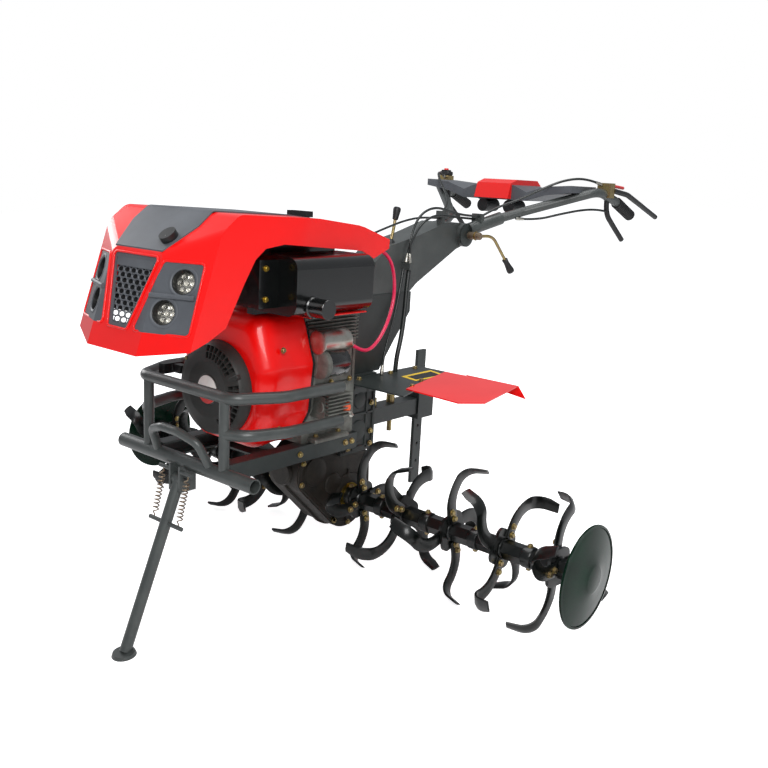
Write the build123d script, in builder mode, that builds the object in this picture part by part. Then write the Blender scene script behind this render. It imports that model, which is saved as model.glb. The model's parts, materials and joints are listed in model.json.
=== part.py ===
from build123d import *
import math
import os

# A walking power tiller, in millimetres.
# It is drawn about its rotor axle: X along the axle to the machine's left, -Y to its front, Z up.
# At the end every piece is turned nose-up onto its stand, with the floor at Z = 0.

# Rotor
flange_count = 5
first_flange_x = 104
flange_pitch = 149
flange_thickness = 8
flange_side = 88
flange_corner = 22
shaft_step_gap = 6
hex_across_flats = 42
output_shaft_diameter = 34
output_shaft_clearance = 0.5
rotor_end_x = 790
tine_width = 34
tine_thickness = 6
tine_root_radius = 26
tine_straight = 31
tine_curve_radius = 80
tine_curve_angle = 60
tine_bend_radius = 38
tine_bend_angle = 75
tine_bend_slant = 10
tine_leg = 30
tine_phases = (80, 125, -15, 30, 95)
shield_radius = 120
shield_thickness = 3
shield_dish = 16
shield_hub_radius = 32

# Gearbox and transmission
gearbox_half_width = 52
gearbox_axle_radius = 90
gearbox_front_radius = 66
gearbox_front_center = (-128, 92)
gearbox_rear_radius = 34
gearbox_rear_center = (52, 84)
gearbox_cap_radius = 34
gearbox_cap_reach = 8
gearbox_cap_root = 20
output_ring_radius = 36
output_ring_length = 10
housing_half_width = 62
housing_front_y = -44
housing_rear_y = 88
housing_bottom_z = 118
housing_top_z = 330

# Engine, seated on the rails
rail_top_z = 205
rail_height = 40
rail_width = 35
rail_inner_x = 98
rail_wall = 5
rail_rear_y = -64
rail_plate_run = 50
rail_plate_gap = 15
engine_half_width = 120
engine_front_y = -252
engine_rear_y = -70
engine_height = 325
crank_z = 346
shroud_front_y = -405
shroud_corner = 24
shroud_chamfer = 14
recoil_radius = 112
recoil_depth = 39
recoil_edge = 10
handle_height = 26
muffler_length = 250
muffler_rear_y = -140
muffler_inner_x = 84
muffler_outer_x = 228
muffler_bottom_z = 538
muffler_top_z = 666
muffler_corner = 26
outlet_radius = 21
outlet_wall = 3
outlet_reach = 48
outlet_root = 30
elbow_size = (86, 60, 104)
elbow_center = (128, -26, 606)
muffler_foot_size = (28, 90)
muffler_foot_center = (102, -190)
air_cleaner_radius = 58
air_cleaner_height = 122
air_cleaner_center = (-132, -180)
air_cleaner_edge = 10
tank_half_width = 56
tank_front_y = -335
tank_rear_y = -82
tank_height = 180
filler_y = -161
filler_radius = 24
filler_height = 30
filler_clearance = 6
cap_knob_size = (64, 26, 14)
tank_corner = 20
tank_edge = 12
starter_x = 160
starter_motor_radius = 35
starter_motor_z = 408
starter_motor_span = (-246, -160)
starter_solenoid_radius = 28
starter_solenoid_z = 460
starter_solenoid_span = (-251, -150)
pump_size = (46, 88, 56)
pump_center = (-180, 298)

# Hood
hood_wall = 4
hood_front_half_width = 194
hood_rear_half_width = 150
hood_rear_y = -10
hood_lean = 0.335
chin_z = 466
chin_half_width = 86
chin_y = -696
cheek_y = -652

# Frame and bumper
cross_tube_diameter = 34
cross_tube_wall = 3
cross_tube_length = 472
cross_tube_y = -505
cross_tube_z = 186
post_diameter = 24
post_x = 135
guard_tube_diameter = 27
guard_wall = 2.5
guard_top_z = 362
guard_low_z = 280
guard_end_x = 215
guard_end_y = -220
guard_flare = 4
guard_corner_x = 22
guard_bend_y = 105
guard_bends = (90, 38, 38, 90)
side_tube_bends = (50, 90)
side_tube_bend_y = 120
arch_diameter = 20
arch_foot_x = 95
arch_shoulder = (82, -30, 66)
arch_crown = (30, -42, 84)
arch_bends = (26, 40, 40, 26)

# Front stand
stand_pivot = (-520, 148)
stand_foot_y = -672
stand_tube_diameter = 27
stand_foot_radius = 28
stand_foot_thickness = 8
stand_bracket_thickness = 6
stand_pin_diameter = 12
spring_offset_x = 44
spring_radius = 8
spring_bar_radius = 5
spring_bar_overhang = 14
spring_bar_drop = 104
spring_bar_offset = (-10, 22)

# Handle column
pedestal_half_width = 48
pedestal_top_z = 538
swivel_y = 150
swivel_pin_radius = 20
swivel_pin_height = 24
seat_gap = 0.3
stem_half_width = 45
hub_y = 470
hub_z = 691
hub_radius = 34
hub_disc_thickness = 12
hub_bolt_radius = 8
pin_clearance = 0.4

# Handlebar
sleeve_diameter = 38
bar_diameter = 27
grip_diameter = 35

# Fenders and hitch
fender_z = 326
fender_thickness = 3
hitch_half_width = 25
drag_bar_width = 38
drag_bar_thickness = 10
drag_bar_y = 362
drag_bar_top_z = 352
drag_bar_length = 410
drag_bar_fit = 0.3
hitch_pin_radius = 7

# Cables: diameters, clips, and the points of each route
cable_diameter = 7
battery_cable_diameter = 9
bundle_diameter = 13
stem_clip_size = (30, 16, 18)
stem_clip_center = (stem_half_width + 15, 196, 610)
crest_clip_size = (18, 14, 26)
crest_clip_center = (34, 372, 734)
bar_clip_size = (34, 16, 24)
bar_clip_center = (66, 512, 742)

# Parked on the stand: the nose is turned up by this angle about the axle
park_pitch = 5.4

pieces = {}


def side_prism(outline, half_width):
    """A solid with a side view, given as (y, z) points, spread to both sides of the middle."""
    with BuildPart() as prism:
        with BuildSketch(Plane.YZ):
            with BuildLine():
                Polyline(*outline, close=True)
            make_face()
        extrude(amount=half_width, both=True)
    return prism.part


def tube(points, radii, diameter, wall):
    """A round tube swept along straight runs joined by bends."""
    with BuildPart() as swept:
        with BuildLine() as route:
            FilletPolyline(*points, radius=radii)
        start = Plane(origin=route.line @ 0, z_dir=route.line % 0)
        with BuildSketch(start):
            Circle(diameter / 2)
            if wall:
                Circle(diameter / 2 - wall, mode=Mode.SUBTRACT)
        sweep()
    return swept.part


def rod(start, end, radius):
    """A solid round rod between two points."""
    axis = Vector(*end) - Vector(*start)
    with BuildPart() as bar:
        with BuildSketch(Plane(origin=start, z_dir=axis)):
            Circle(radius)
        extrude(amount=axis.length)
    return bar.part


# Rotor shaft with its flanges
def flange_x(index):
    return first_flange_x + flange_pitch * index


hex_start = gearbox_half_width + output_ring_length + shaft_step_gap
with BuildPart() as rotor_shaft:
    with BuildSketch(Plane.YZ.offset(-hex_start)):
        Circle(output_shaft_diameter / 2)
    extrude(amount=2 * hex_start)
    for side in (1, -1):
        with BuildSketch(Plane.YZ.offset(side * hex_start)):
            RegularPolygon(hex_across_flats / 2, 6, major_radius=False)
        extrude(amount=side * (rotor_end_x - hex_start))
        for index in range(flange_count):
            with BuildSketch(Plane.YZ.offset(side * flange_x(index) - flange_thickness / 2)):
                with Locations(Rot(0, 0, -tine_phases[index])):
                    RectangleRounded(flange_side, flange_side, flange_corner)
            extrude(amount=flange_thickness)
pieces["rotor_shaft"] = rotor_shaft


# One tine, bent towards +X, its root on the plane x = 0 and its shank pointing forwards
def tine_stations():
    """Centre, run direction and width direction of the strip, from its root to its tip."""
    outward, trailing, sideways = Vector(0, -1, 0), Vector(0, 0, 1), Vector(1, 0, 0)
    stations = [(outward * tine_root_radius, outward, trailing)]
    place = outward * (tine_root_radius + tine_straight)
    stations.append((place, outward, trailing))
    for share in (0.25, 0.5, 0.75, 1):
        turn = math.radians(tine_curve_angle * share)
        run = outward * math.cos(turn) + trailing * math.sin(turn)
        across = trailing * math.cos(turn) - outward * math.sin(turn)
        shift = (outward * math.sin(turn) + trailing * (1 - math.cos(turn))) * tine_curve_radius
        stations.append((place + shift, run, across))
    place, run, across = stations[-1]
    slant = math.radians(tine_bend_slant)
    hinge = across * math.cos(slant) + run * math.sin(slant)
    forward = run * math.cos(slant) - across * math.sin(slant)
    for share in (0.33, 0.67, 1):
        turn = math.radians(tine_bend_angle * share)
        bent = forward * math.cos(turn) + sideways * math.sin(turn)
        along = forward * math.sin(turn) + sideways * (1 - math.cos(turn))
        slide = hinge * (turn * tine_bend_radius * math.tan(slant))
        stations.append(
            (
                place + along * tine_bend_radius + slide,
                bent * math.cos(slant) + hinge * math.sin(slant),
                hinge * math.cos(slant) - bent * math.sin(slant),
            )
        )
    place, run, across = stations[-1]
    stations.append((place + run * tine_leg, run, across))
    return stations


with BuildPart() as tine:
    for place, run, across in tine_stations():
        with BuildSketch(Plane(origin=place, x_dir=across, z_dir=run)):
            Rectangle(tine_width, tine_thickness)
    loft(ruled=True)

inward_tine = mirror(tine.part, about=Plane.YZ)
tine_offset = (flange_thickness + tine_thickness) / 2
with BuildPart() as tines_left:
    placed = []
    for index in range(flange_count):
        for quarter in range(4):
            outwards = index == 0 or quarter % 2 == 1
            turn = tine_phases[index] + 90 * quarter
            spot = flange_x(index) + (tine_offset if outwards else -tine_offset)
            shape = tine.part if outwards else inward_tine
            placed.append(shape.moved(Location((spot, 0, 0), (-turn, 0, 0))))
    add(placed)
with BuildPart() as tines_right:
    add(mirror(tines_left.part, about=Plane.YZ))
pieces["tines_left"] = tines_left
pieces["tines_right"] = tines_right

# Shield discs, dished outwards, on the rotor's ends
with BuildPart() as shield_discs:
    with BuildSketch(Plane.XZ):
        with BuildLine():
            Polyline(
                (rotor_end_x, 0),
                (rotor_end_x, shield_hub_radius),
                (rotor_end_x - shield_dish, shield_radius),
                (rotor_end_x - shield_dish + shield_thickness, shield_radius),
                (rotor_end_x + shield_thickness, shield_hub_radius),
                (rotor_end_x + shield_thickness, 0),
                close=True,
            )
        make_face()
    revolve(axis=Axis.X)
    mirror(about=Plane.YZ)
pieces["shield_discs"] = shield_discs

# Gearbox: cast casing around the axle and the drive that comes down to it
with BuildPart() as gearbox:
    with BuildSketch(Plane.YZ):
        with Locations((0, 0)):
            Circle(gearbox_axle_radius)
        with Locations(gearbox_front_center):
            Circle(gearbox_front_radius)
        with Locations(gearbox_rear_center):
            Circle(gearbox_rear_radius)
        make_hull()
    extrude(amount=gearbox_half_width, both=True)
    front_y = gearbox_front_center[0] - gearbox_front_radius
    with BuildSketch(Plane.XZ.offset(-front_y)):
        with Locations((0, gearbox_front_center[1])):
            Circle(gearbox_cap_radius)
    extrude(amount=-gearbox_cap_root)
    with BuildSketch(Plane.XZ.offset(-front_y)):
        with Locations((0, gearbox_front_center[1])):
            Circle(gearbox_cap_radius)
    extrude(amount=gearbox_cap_reach, taper=20)
    with BuildSketch(Plane.YZ.offset(-gearbox_half_width)):
        Circle(output_shaft_diameter / 2 + output_shaft_clearance)
    extrude(amount=2 * gearbox_half_width, mode=Mode.SUBTRACT)
pieces["gearbox"] = gearbox

with BuildPart() as output_rings:
    with BuildSketch(Plane.YZ.offset(gearbox_half_width)):
        Circle(output_ring_radius)
        Circle(output_shaft_diameter / 2 + output_shaft_clearance, mode=Mode.SUBTRACT)
    extrude(amount=output_ring_length)
    mirror(about=Plane.YZ)
pieces["output_rings"] = output_rings

with BuildPart() as transmission_housing:
    add(
        side_prism(
            [
                (housing_front_y, housing_bottom_z),
                (housing_rear_y, housing_bottom_z),
                (housing_rear_y, housing_top_z),
                (housing_front_y, housing_top_z),
            ],
            housing_half_width,
        )
    )
    add(gearbox.part, mode=Mode.SUBTRACT)
pieces["transmission_housing"] = transmission_housing

# Bumper: cross tube, posts, guard tubes and arch
cross_radius = cross_tube_diameter / 2
cross_core = rod(
    (-cross_tube_length / 2, cross_tube_y, cross_tube_z),
    (cross_tube_length / 2, cross_tube_y, cross_tube_z),
    cross_radius,
)
with BuildPart() as bumper_cross_tube:
    add(cross_core)
    with BuildSketch(Plane.YZ.offset(-cross_tube_length / 2)):
        with Locations((cross_tube_y, cross_tube_z)):
            Circle(cross_radius - cross_tube_wall)
    extrude(amount=cross_tube_length, mode=Mode.SUBTRACT)
pieces["bumper_cross_tube"] = bumper_cross_tube

top_route = [
    (-guard_end_x, guard_end_y, guard_top_z),
    (-guard_end_x + guard_flare, cross_tube_y + guard_bend_y, guard_top_z),
    (-post_x - guard_corner_x, cross_tube_y, guard_top_z),
    (post_x + guard_corner_x, cross_tube_y, guard_top_z),
    (guard_end_x - guard_flare, cross_tube_y + guard_bend_y, guard_top_z),
    (guard_end_x, guard_end_y, guard_top_z),
]
with BuildPart() as bumper_top_tube:
    add(tube(top_route, guard_bends, guard_tube_diameter, guard_wall))
pieces["bumper_top_tube"] = bumper_top_tube

with BuildPart() as bumper_posts:
    for side in (1, -1):
        add(
            rod(
                (side * post_x, cross_tube_y, cross_tube_z),
                (side * post_x, cross_tube_y, guard_top_z),
                post_diameter / 2,
            )
        )
    add(cross_core, mode=Mode.SUBTRACT)
    add(tube(top_route, guard_bends, guard_tube_diameter, 0), mode=Mode.SUBTRACT)
pieces["bumper_posts"] = bumper_posts

low_route = [
    (post_x, cross_tube_y, guard_low_z),
    (post_x + 45, cross_tube_y + 28, guard_low_z),
    (guard_end_x - guard_flare, cross_tube_y + side_tube_bend_y, guard_low_z),
    (guard_end_x, guard_end_y, guard_low_z),
]
with BuildPart() as side_tube_left:
    add(tube(low_route, side_tube_bends, guard_tube_diameter, guard_wall))
    post_core = rod(
        (post_x, cross_tube_y, cross_tube_z),
        (post_x, cross_tube_y, guard_top_z),
        post_diameter / 2,
    )
    add(post_core, mode=Mode.SUBTRACT)
    kept = side_tube_left.part.solids().sort_by(SortBy.VOLUME)[-1]
with BuildPart() as bumper_side_tubes:
    add(kept)
    mirror(about=Plane.YZ)
pieces["bumper_side_tubes"] = bumper_side_tubes

arch_half = [
    (x, cross_tube_y + y, cross_tube_z + z) for x, y, z in ((arch_foot_x, 0, 0), arch_shoulder, arch_crown)
]
arch_route = [(-x, y, z) for x, y, z in arch_half] + arch_half[::-1]
with BuildPart() as bumper_arch:
    add(tube(arch_route, arch_bends, arch_diameter, 0))
    add(cross_core, mode=Mode.SUBTRACT)
pieces["bumper_arch"] = bumper_arch

# Engine rails: two channels with cross plates, coped onto the cross tube
with BuildPart() as engine_rails:
    rail_front_y = cross_tube_y + 0.8 * cross_radius
    rail_length = rail_rear_y - rail_front_y
    for side in (1, -1):
        center = (side * (rail_inner_x + rail_width / 2), rail_front_y + rail_length / 2)
        with Locations((*center, rail_top_z - rail_height / 2)):
            Box(rail_width, rail_length, rail_height)
        with Locations((center[0] - side * rail_wall, center[1], rail_top_z - rail_height / 2)):
            Box(rail_width, rail_length, rail_height - 2 * rail_wall, mode=Mode.SUBTRACT)
    plate_z = rail_top_z - rail_height + rail_wall / 2
    plates = [
        (housing_front_y, rail_inner_x),
        (engine_front_y - rail_plate_gap, rail_inner_x + rail_width),
    ]
    for plate_rear_y, plate_half_width in plates:
        with Locations((0, plate_rear_y - rail_plate_run / 2, plate_z)):
            Box(2 * plate_half_width, rail_plate_run, rail_wall)
    add(cross_core, mode=Mode.SUBTRACT)
    add(gearbox.part, mode=Mode.SUBTRACT)
pieces["engine_rails"] = engine_rails

# Engine block on the rails
engine_length = engine_rear_y - engine_front_y
engine_top_z = rail_top_z + engine_height
with BuildPart() as engine_block:
    with Locations((0, engine_front_y + engine_length / 2, rail_top_z + engine_height / 2)):
        Box(2 * engine_half_width, engine_length, engine_height)
pieces["engine_block"] = engine_block

# Fan shroud in front of the block, and the recoil starter on it
shroud_outline = [(95, 210), (140, 290), (152, 410), (112, 528)]
with BuildPart() as fan_shroud:
    with BuildSketch(Plane.XZ.offset(-engine_front_y)) as shroud_face:
        with BuildLine():
            left = [(-x, z) for x, z in reversed(shroud_outline)]
            Polyline(*shroud_outline, *left, close=True)
        make_face()
        fillet(shroud_face.vertices(), shroud_corner)
    extrude(amount=engine_front_y - shroud_front_y)
    chamfer(fan_shroud.faces().sort_by(Axis.Y)[0].edges(), shroud_chamfer)
pieces["fan_shroud"] = fan_shroud

with BuildPart() as recoil_starter:
    with BuildSketch(Plane.XZ.offset(-shroud_front_y)):
        with Locations((0, crank_z)):
            Circle(recoil_radius)
    extrude(amount=recoil_depth)
    fillet(recoil_starter.faces().sort_by(Axis.Y)[0].edges(), recoil_edge)
pieces["recoil_starter"] = recoil_starter

with BuildPart() as recoil_handle:
    handle_y = shroud_front_y - recoil_depth / 2
    with Locations((-recoil_radius - 8, handle_y, crank_z + handle_height)):
        Box(40, 20, 20)
    with Locations((-recoil_radius - 36, handle_y - 6, crank_z + handle_height)):
        Box(20, 62, 24)
    fillet(recoil_handle.edges().filter_by(Axis.Z), 4)
    with BuildSketch(Plane.XZ.offset(-shroud_front_y)):
        with Locations((0, crank_z)):
            Circle(recoil_radius)
    extrude(amount=recoil_depth, mode=Mode.SUBTRACT)
    add(fan_shroud.part, mode=Mode.SUBTRACT)
pieces["recoil_handle"] = recoil_handle

# Starter motor with its solenoid on the engine's left side
with BuildPart() as starter_motor:
    motor_ends = [(starter_x, y, starter_motor_z) for y in starter_motor_span]
    solenoid_ends = [(starter_x, y, starter_solenoid_z) for y in starter_solenoid_span]
    add(rod(*motor_ends, starter_motor_radius))
    add(rod(*solenoid_ends, starter_solenoid_radius))
    mount_width = starter_x - engine_half_width
    mount_z = (starter_motor_z - starter_motor_radius + starter_solenoid_z) / 2
    with Locations((engine_half_width + mount_width / 2, starter_motor_span[0] + 6, mount_z + 7.5)):
        Box(mount_width, 20, starter_solenoid_z - starter_motor_z + 34)
pieces["starter_motor"] = starter_motor

with BuildPart() as injection_pump:
    with Locations((engine_half_width + pump_size[0] / 2, *pump_center)):
        Box(*pump_size)
    fillet(injection_pump.edges().filter_by(Axis.Y), 6)
pieces["injection_pump"] = injection_pump

# Muffler with its elbow, outlet and foot
muffler_front_y = muffler_rear_y - muffler_length
with BuildPart() as muffler:
    with BuildSketch(Plane.XZ.offset(-muffler_rear_y)):
        with Locations(
            ((muffler_inner_x + muffler_outer_x) / 2, (muffler_bottom_z + muffler_top_z) / 2)
        ):
            RectangleRounded(
                muffler_outer_x - muffler_inner_x,
                muffler_top_z - muffler_bottom_z,
                muffler_corner,
            )
    extrude(amount=muffler_length)
    outlet_y = muffler_front_y + 52
    outlet_z = muffler_bottom_z + 20
    with BuildSketch(Plane.YZ.offset(muffler_outer_x - outlet_root)):
        with Locations((outlet_y, outlet_z)):
            Circle(outlet_radius)
    extrude(amount=outlet_root + outlet_reach)
    with BuildSketch(Plane.YZ.offset(muffler_outer_x)):
        with Locations((outlet_y, outlet_z)):
            Circle(outlet_radius - outlet_wall)
    extrude(amount=outlet_reach, mode=Mode.SUBTRACT)
    with Locations((elbow_center[0], muffler_front_y + elbow_center[1], elbow_center[2])):
        Box(*elbow_size)
    foot_z = (engine_top_z + muffler_bottom_z + 8) / 2
    with Locations((*muffler_foot_center, foot_z)):
        Box(*muffler_foot_size, muffler_bottom_z + 8 - engine_top_z)
pieces["muffler"] = muffler

with BuildPart() as air_cleaner:
    with BuildSketch(Plane.XY.offset(engine_top_z)):
        with Locations(air_cleaner_center):
            Circle(air_cleaner_radius)
    extrude(amount=air_cleaner_height)
    fillet(air_cleaner.faces().sort_by(Axis.Z)[-1].edges(), air_cleaner_edge)
pieces["air_cleaner"] = air_cleaner

# Fuel tank on the block; its filler goes up through the hood
tank_length = tank_rear_y - tank_front_y
with BuildPart() as fuel_tank:
    with Locations((-2, tank_front_y + tank_length / 2, engine_top_z + tank_height / 2)):
        Box(2 * tank_half_width, tank_length, tank_height)
    fillet(fuel_tank.edges().filter_by(Axis.Y), tank_corner)
    fillet(fuel_tank.faces().sort_by(Axis.Z)[-1].edges().filter_by(Axis.X), tank_edge)
pieces["fuel_tank"] = fuel_tank

tank_top_z = engine_top_z + tank_height
with BuildPart() as fuel_cap:
    with BuildSketch(Plane.XY.offset(tank_top_z)):
        with Locations((0, filler_y)):
            Circle(filler_radius)
    extrude(amount=filler_height)
    with Locations((0, filler_y, tank_top_z + filler_height + cap_knob_size[2] / 2 - 1)):
        Box(*cap_knob_size)
pieces["fuel_cap"] = fuel_cap

# Hood: a thin shell with an arched opening on each side
top_chain = [(-696, 466), (-627, 672), (-521, 754), (-286, 746), (-129, 729), (hood_rear_y, 694)]
lower_chain = [
    (hood_rear_y, 672),
    (-72, 650),
    (-122, 670),
    (-396, 692),
    (-450, 684),
    (-478, 662),
    (-509, 611),
    (-555, 526),
    (-600, 502),
]


def hood_plan(inset):
    """The hood's outline from above at its chin, drawn in by a wall."""
    half, rear_half = hood_front_half_width - inset, hood_rear_half_width - inset
    right = [(chin_half_width, chin_y + inset), (half, cheek_y + inset), (half, -420), (rear_half, 60)]
    return right + [(-x, y) for x, y in reversed(right)]


def leaning_prism(inset):
    """The plan carried up along the lean of the front."""
    with BuildPart() as prism:
        with BuildSketch(Plane.XY.offset(chin_z)):
            with BuildLine():
                Polyline(*hood_plan(inset), close=True)
            make_face()
        extrude(amount=330, dir=(0, hood_lean, 1))
    return prism.part


with BuildPart() as hood_outer:
    add(side_prism(top_chain + lower_chain, 220))
    add(leaning_prism(0), mode=Mode.INTERSECT)

inner_top = [
    (y + (hood_wall if z < 760 and y < -600 else 0), z - (0 if z < 500 else hood_wall + 0.5))
    for y, z in top_chain[:-1]
]
with BuildPart() as hood_inner:
    add(side_prism(inner_top + [(60, 680 - hood_wall), (60, 380), (-692, 380)], 220))
    with BuildPart(mode=Mode.PRIVATE) as cavity_plan:
        with BuildSketch(Plane.XY.offset(380)):
            with BuildLine():
                lowered = [(x, y - (chin_z - 380) * hood_lean) for x, y in hood_plan(hood_wall)]
                Polyline(*lowered, close=True)
            make_face()
        extrude(amount=420, dir=(0, hood_lean, 1))
    add(cavity_plan.part, mode=Mode.INTERSECT)

with BuildPart() as hood_shell:
    add(hood_outer.part)
    add(hood_inner.part, mode=Mode.SUBTRACT)


def front_prism(outline):
    """A prism along Y through the hood's front, from a front view of (x, z) points."""
    with BuildPart() as prism:
        with BuildSketch(Plane.XZ.offset(560)) as face:
            with BuildLine():
                Polyline(*outline, close=True)
            make_face()
            fillet(face.vertices(), 8)
        extrude(amount=180)
    return prism.part


grille_window = [(-78, 662), (78, 662), (34, 512), (-34, 512)]
lamp_window = [(92, 656), (178, 656), (184, 514), (52, 514)]
lamp_window_right = [(-x, z) for x, z in lamp_window]
lamp_centers = [(142, 618), (118, 556)]
lamp_radius = 27
lamp_depth = 24
lamp_rim_gap = 0.3
lamp_recess = 6


def lamp_core(radius):
    """The four round lamps as one set of bars along Y."""
    with BuildPart() as bars:
        with BuildSketch(Plane.XZ.offset(590)):
            with Locations(*lamp_centers, *[(-x, z) for x, z in lamp_centers]):
                Circle(radius)
        extrude(amount=110)
    return bars.part


with BuildPart() as filler_hole:
    with BuildSketch(Plane.XY.offset(700)):
        with Locations((0, filler_y)):
            Circle(filler_radius + filler_clearance)
    extrude(amount=80)

with BuildPart() as hood:
    add(hood_shell.part)
    for window in (grille_window, lamp_window, lamp_window_right):
        add(front_prism(window), mode=Mode.SUBTRACT)
    add(filler_hole.part, mode=Mode.SUBTRACT)
pieces["hood"] = hood

with BuildPart() as grille:
    add(hood_shell.part)
    add(front_prism(grille_window), mode=Mode.INTERSECT)
    with BuildSketch(Plane.XZ.offset(560)):
        for row in range(6):
            half_count = 3 - row // 2
            for column in range(-half_count, half_count + 1):
                spot = 640 - 22 * row
                reach = 34 + (78 - 34) * (spot - 512) / 150 - 14
                if abs(column) * 20 <= reach:
                    with Locations((column * 20, spot)):
                        Ellipse(7, 8)
    extrude(amount=180, mode=Mode.SUBTRACT)
pieces["grille"] = grille

with BuildPart() as headlight_panels:
    add(hood_shell.part)
    with BuildPart(mode=Mode.PRIVATE) as windows:
        add(front_prism(lamp_window))
        add(front_prism(lamp_window_right))
    add(windows.part, mode=Mode.INTERSECT)
    add(lamp_core(lamp_radius + lamp_rim_gap), mode=Mode.SUBTRACT)
pieces["headlight_panels"] = headlight_panels

with BuildPart() as headlamps:
    for x, z in lamp_centers:
        sweep_back = (x - chin_half_width) * (cheek_y - chin_y) / (hood_front_half_width - chin_half_width)
        lamp_y = chin_y + hood_lean * (z - chin_z) + sweep_back + lamp_recess
        with BuildSketch(Plane.XZ.offset(-lamp_y)):
            with Locations((x, z), (-x, z)):
                Circle(lamp_radius)
        extrude(amount=-lamp_depth)
pieces["headlamps"] = headlamps

# Grey panel laid along the top of the hood
panel_lift = 3
with BuildPart() as hood_top_panel:
    crest = top_chain[1:]
    raised = [(y, z + panel_lift) for y, z in reversed(crest)]
    add(side_prism(crest + raised, 220))
    with BuildPart(mode=Mode.PRIVATE) as panel_plan:
        with BuildSketch(Plane.XY.offset(640)):
            with BuildLine():
                half = [(74, -640), (112, -560), (104, -400), (70, -14)]
                Polyline(*half, *[(-x, y) for x, y in reversed(half)], close=True)
            make_face()
        extrude(amount=140)
    add(panel_plan.part, mode=Mode.INTERSECT)
    add(filler_hole.part, mode=Mode.SUBTRACT)
pieces["hood_top_panel"] = hood_top_panel

with BuildPart() as hood_latch:
    slope = Vector(0, top_chain[2][0] - top_chain[1][0], top_chain[2][1] - top_chain[1][1])
    normal = Vector(0, -slope.Z, slope.Y).normalized()
    share = 0.3
    spot = Vector(66, top_chain[1][0] + slope.Y * share, top_chain[1][1] + slope.Z * share)
    with BuildSketch(Plane(origin=spot, z_dir=normal)):
        Circle(19)
    extrude(amount=16)
    add(hood_top_panel.part, mode=Mode.SUBTRACT)
    add(hood_outer.part, mode=Mode.SUBTRACT)
pieces["hood_latch"] = hood_latch

# Frame that carries the hood on the shroud, cut to the hood's inside
with BuildPart() as hood_frame:
    with Locations((-84, -370, 660), (84, -370, 660)):
        Box(24, 40, 264)
    with Locations((0, -370, 738)):
        Box(192, 40, 8)
    add(hood_inner.part, mode=Mode.INTERSECT)
    add(muffler.part, mode=Mode.SUBTRACT)
    add(fan_shroud.part, mode=Mode.SUBTRACT)
pieces["hood_frame"] = hood_frame

# Stand bracket under the cross tube, and the folding leg
pivot_y, pivot_z = stand_pivot
pitch = math.radians(park_pitch)
standing_tines = tines_left.part.rotate(Axis.X, -park_pitch).bounding_box()
foot_y = stand_foot_y
foot_z = (standing_tines.min.Z + foot_y * math.sin(pitch)) / math.cos(pitch)
leg_run = Vector(0, foot_y - pivot_y, foot_z - pivot_z)
leg_direction = leg_run.normalized()
leg_gap = 0.5
with BuildPart() as stand_bracket:
    inner = stand_tube_diameter / 2 + leg_gap
    for side in (1, -1):
        with Locations((side * (inner + stand_bracket_thickness / 2), pivot_y + 8, pivot_z + 4)):
            Box(stand_bracket_thickness, 46, 62)
    with Locations((0, pivot_y + 29, pivot_z + 19)):
        Box(2 * (inner + stand_bracket_thickness), 4, 32)
    bar_y, bar_z = pivot_y + spring_bar_offset[0], pivot_z + spring_bar_offset[1]
    bar_end = spring_offset_x + spring_bar_overhang
    for side in (1, -1):
        add(rod((side * inner, bar_y, bar_z), (side * bar_end, bar_y, bar_z), spring_bar_radius))
    add(cross_core, mode=Mode.SUBTRACT)
    with BuildSketch(Plane.YZ.offset(-100)):
        with Locations(stand_pivot):
            Circle(stand_pin_diameter / 2 + leg_gap / 2)
    extrude(amount=200, mode=Mode.SUBTRACT)
pieces["stand_bracket"] = stand_bracket

with BuildPart() as stand_leg:
    top = Vector(0, pivot_y, pivot_z)
    add(rod(top, top + leg_direction * (leg_run.length - stand_foot_thickness), stand_tube_diameter / 2))
    with BuildSketch(Plane.YZ.offset(-stand_tube_diameter / 2)):
        with Locations(stand_pivot):
            Circle(stand_tube_diameter / 2)
    extrude(amount=stand_tube_diameter)
    add(rod((-30, pivot_y, pivot_z), (30, pivot_y, pivot_z), stand_pin_diameter / 2))
    ground_tilt = Location((0, foot_y, foot_z), (park_pitch, 0, 0))
    with BuildSketch(Plane(ground_tilt)):
        Circle(stand_foot_radius)
    extrude(amount=stand_foot_thickness, taper=20)
    low = top + leg_direction * spring_bar_drop
    add(rod(low - Vector(bar_end, 0, 0), low + Vector(bar_end, 0, 0), spring_bar_radius))
pieces["stand_leg"] = stand_leg

with BuildPart() as stand_springs:
    for side in (1, -1):
        high_end = Vector(side * spring_offset_x, bar_y, bar_z)
        low_end = Vector(side * spring_offset_x, low.Y, low.Z)
        run = (low_end - high_end).normalized()
        inset = spring_bar_radius + 0.2
        add(rod(high_end + run * inset, low_end - run * inset, spring_radius))
pieces["stand_springs"] = stand_springs

# Fenders: flat plates with a flange on the housing, and a coloured outer piece
dark_plan = [(housing_half_width, -60), (274, -60), (177, 266), (housing_half_width, 266)]
with BuildPart() as fender_left:
    with BuildSketch(Plane.XY.offset(fender_z)):
        with BuildLine():
            Polyline(*dark_plan, close=True)
        make_face()
    extrude(amount=-fender_thickness)
    flange_length = housing_rear_y - housing_front_y
    flange_y = (housing_rear_y + housing_front_y) / 2
    with Locations((housing_half_width + 1.5, flange_y, fender_z - 24)):
        Box(3, flange_length, 42)
with BuildPart() as fenders:
    add(fender_left.part)
    mirror(about=Plane.YZ)
pieces["fenders"] = fenders

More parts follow.
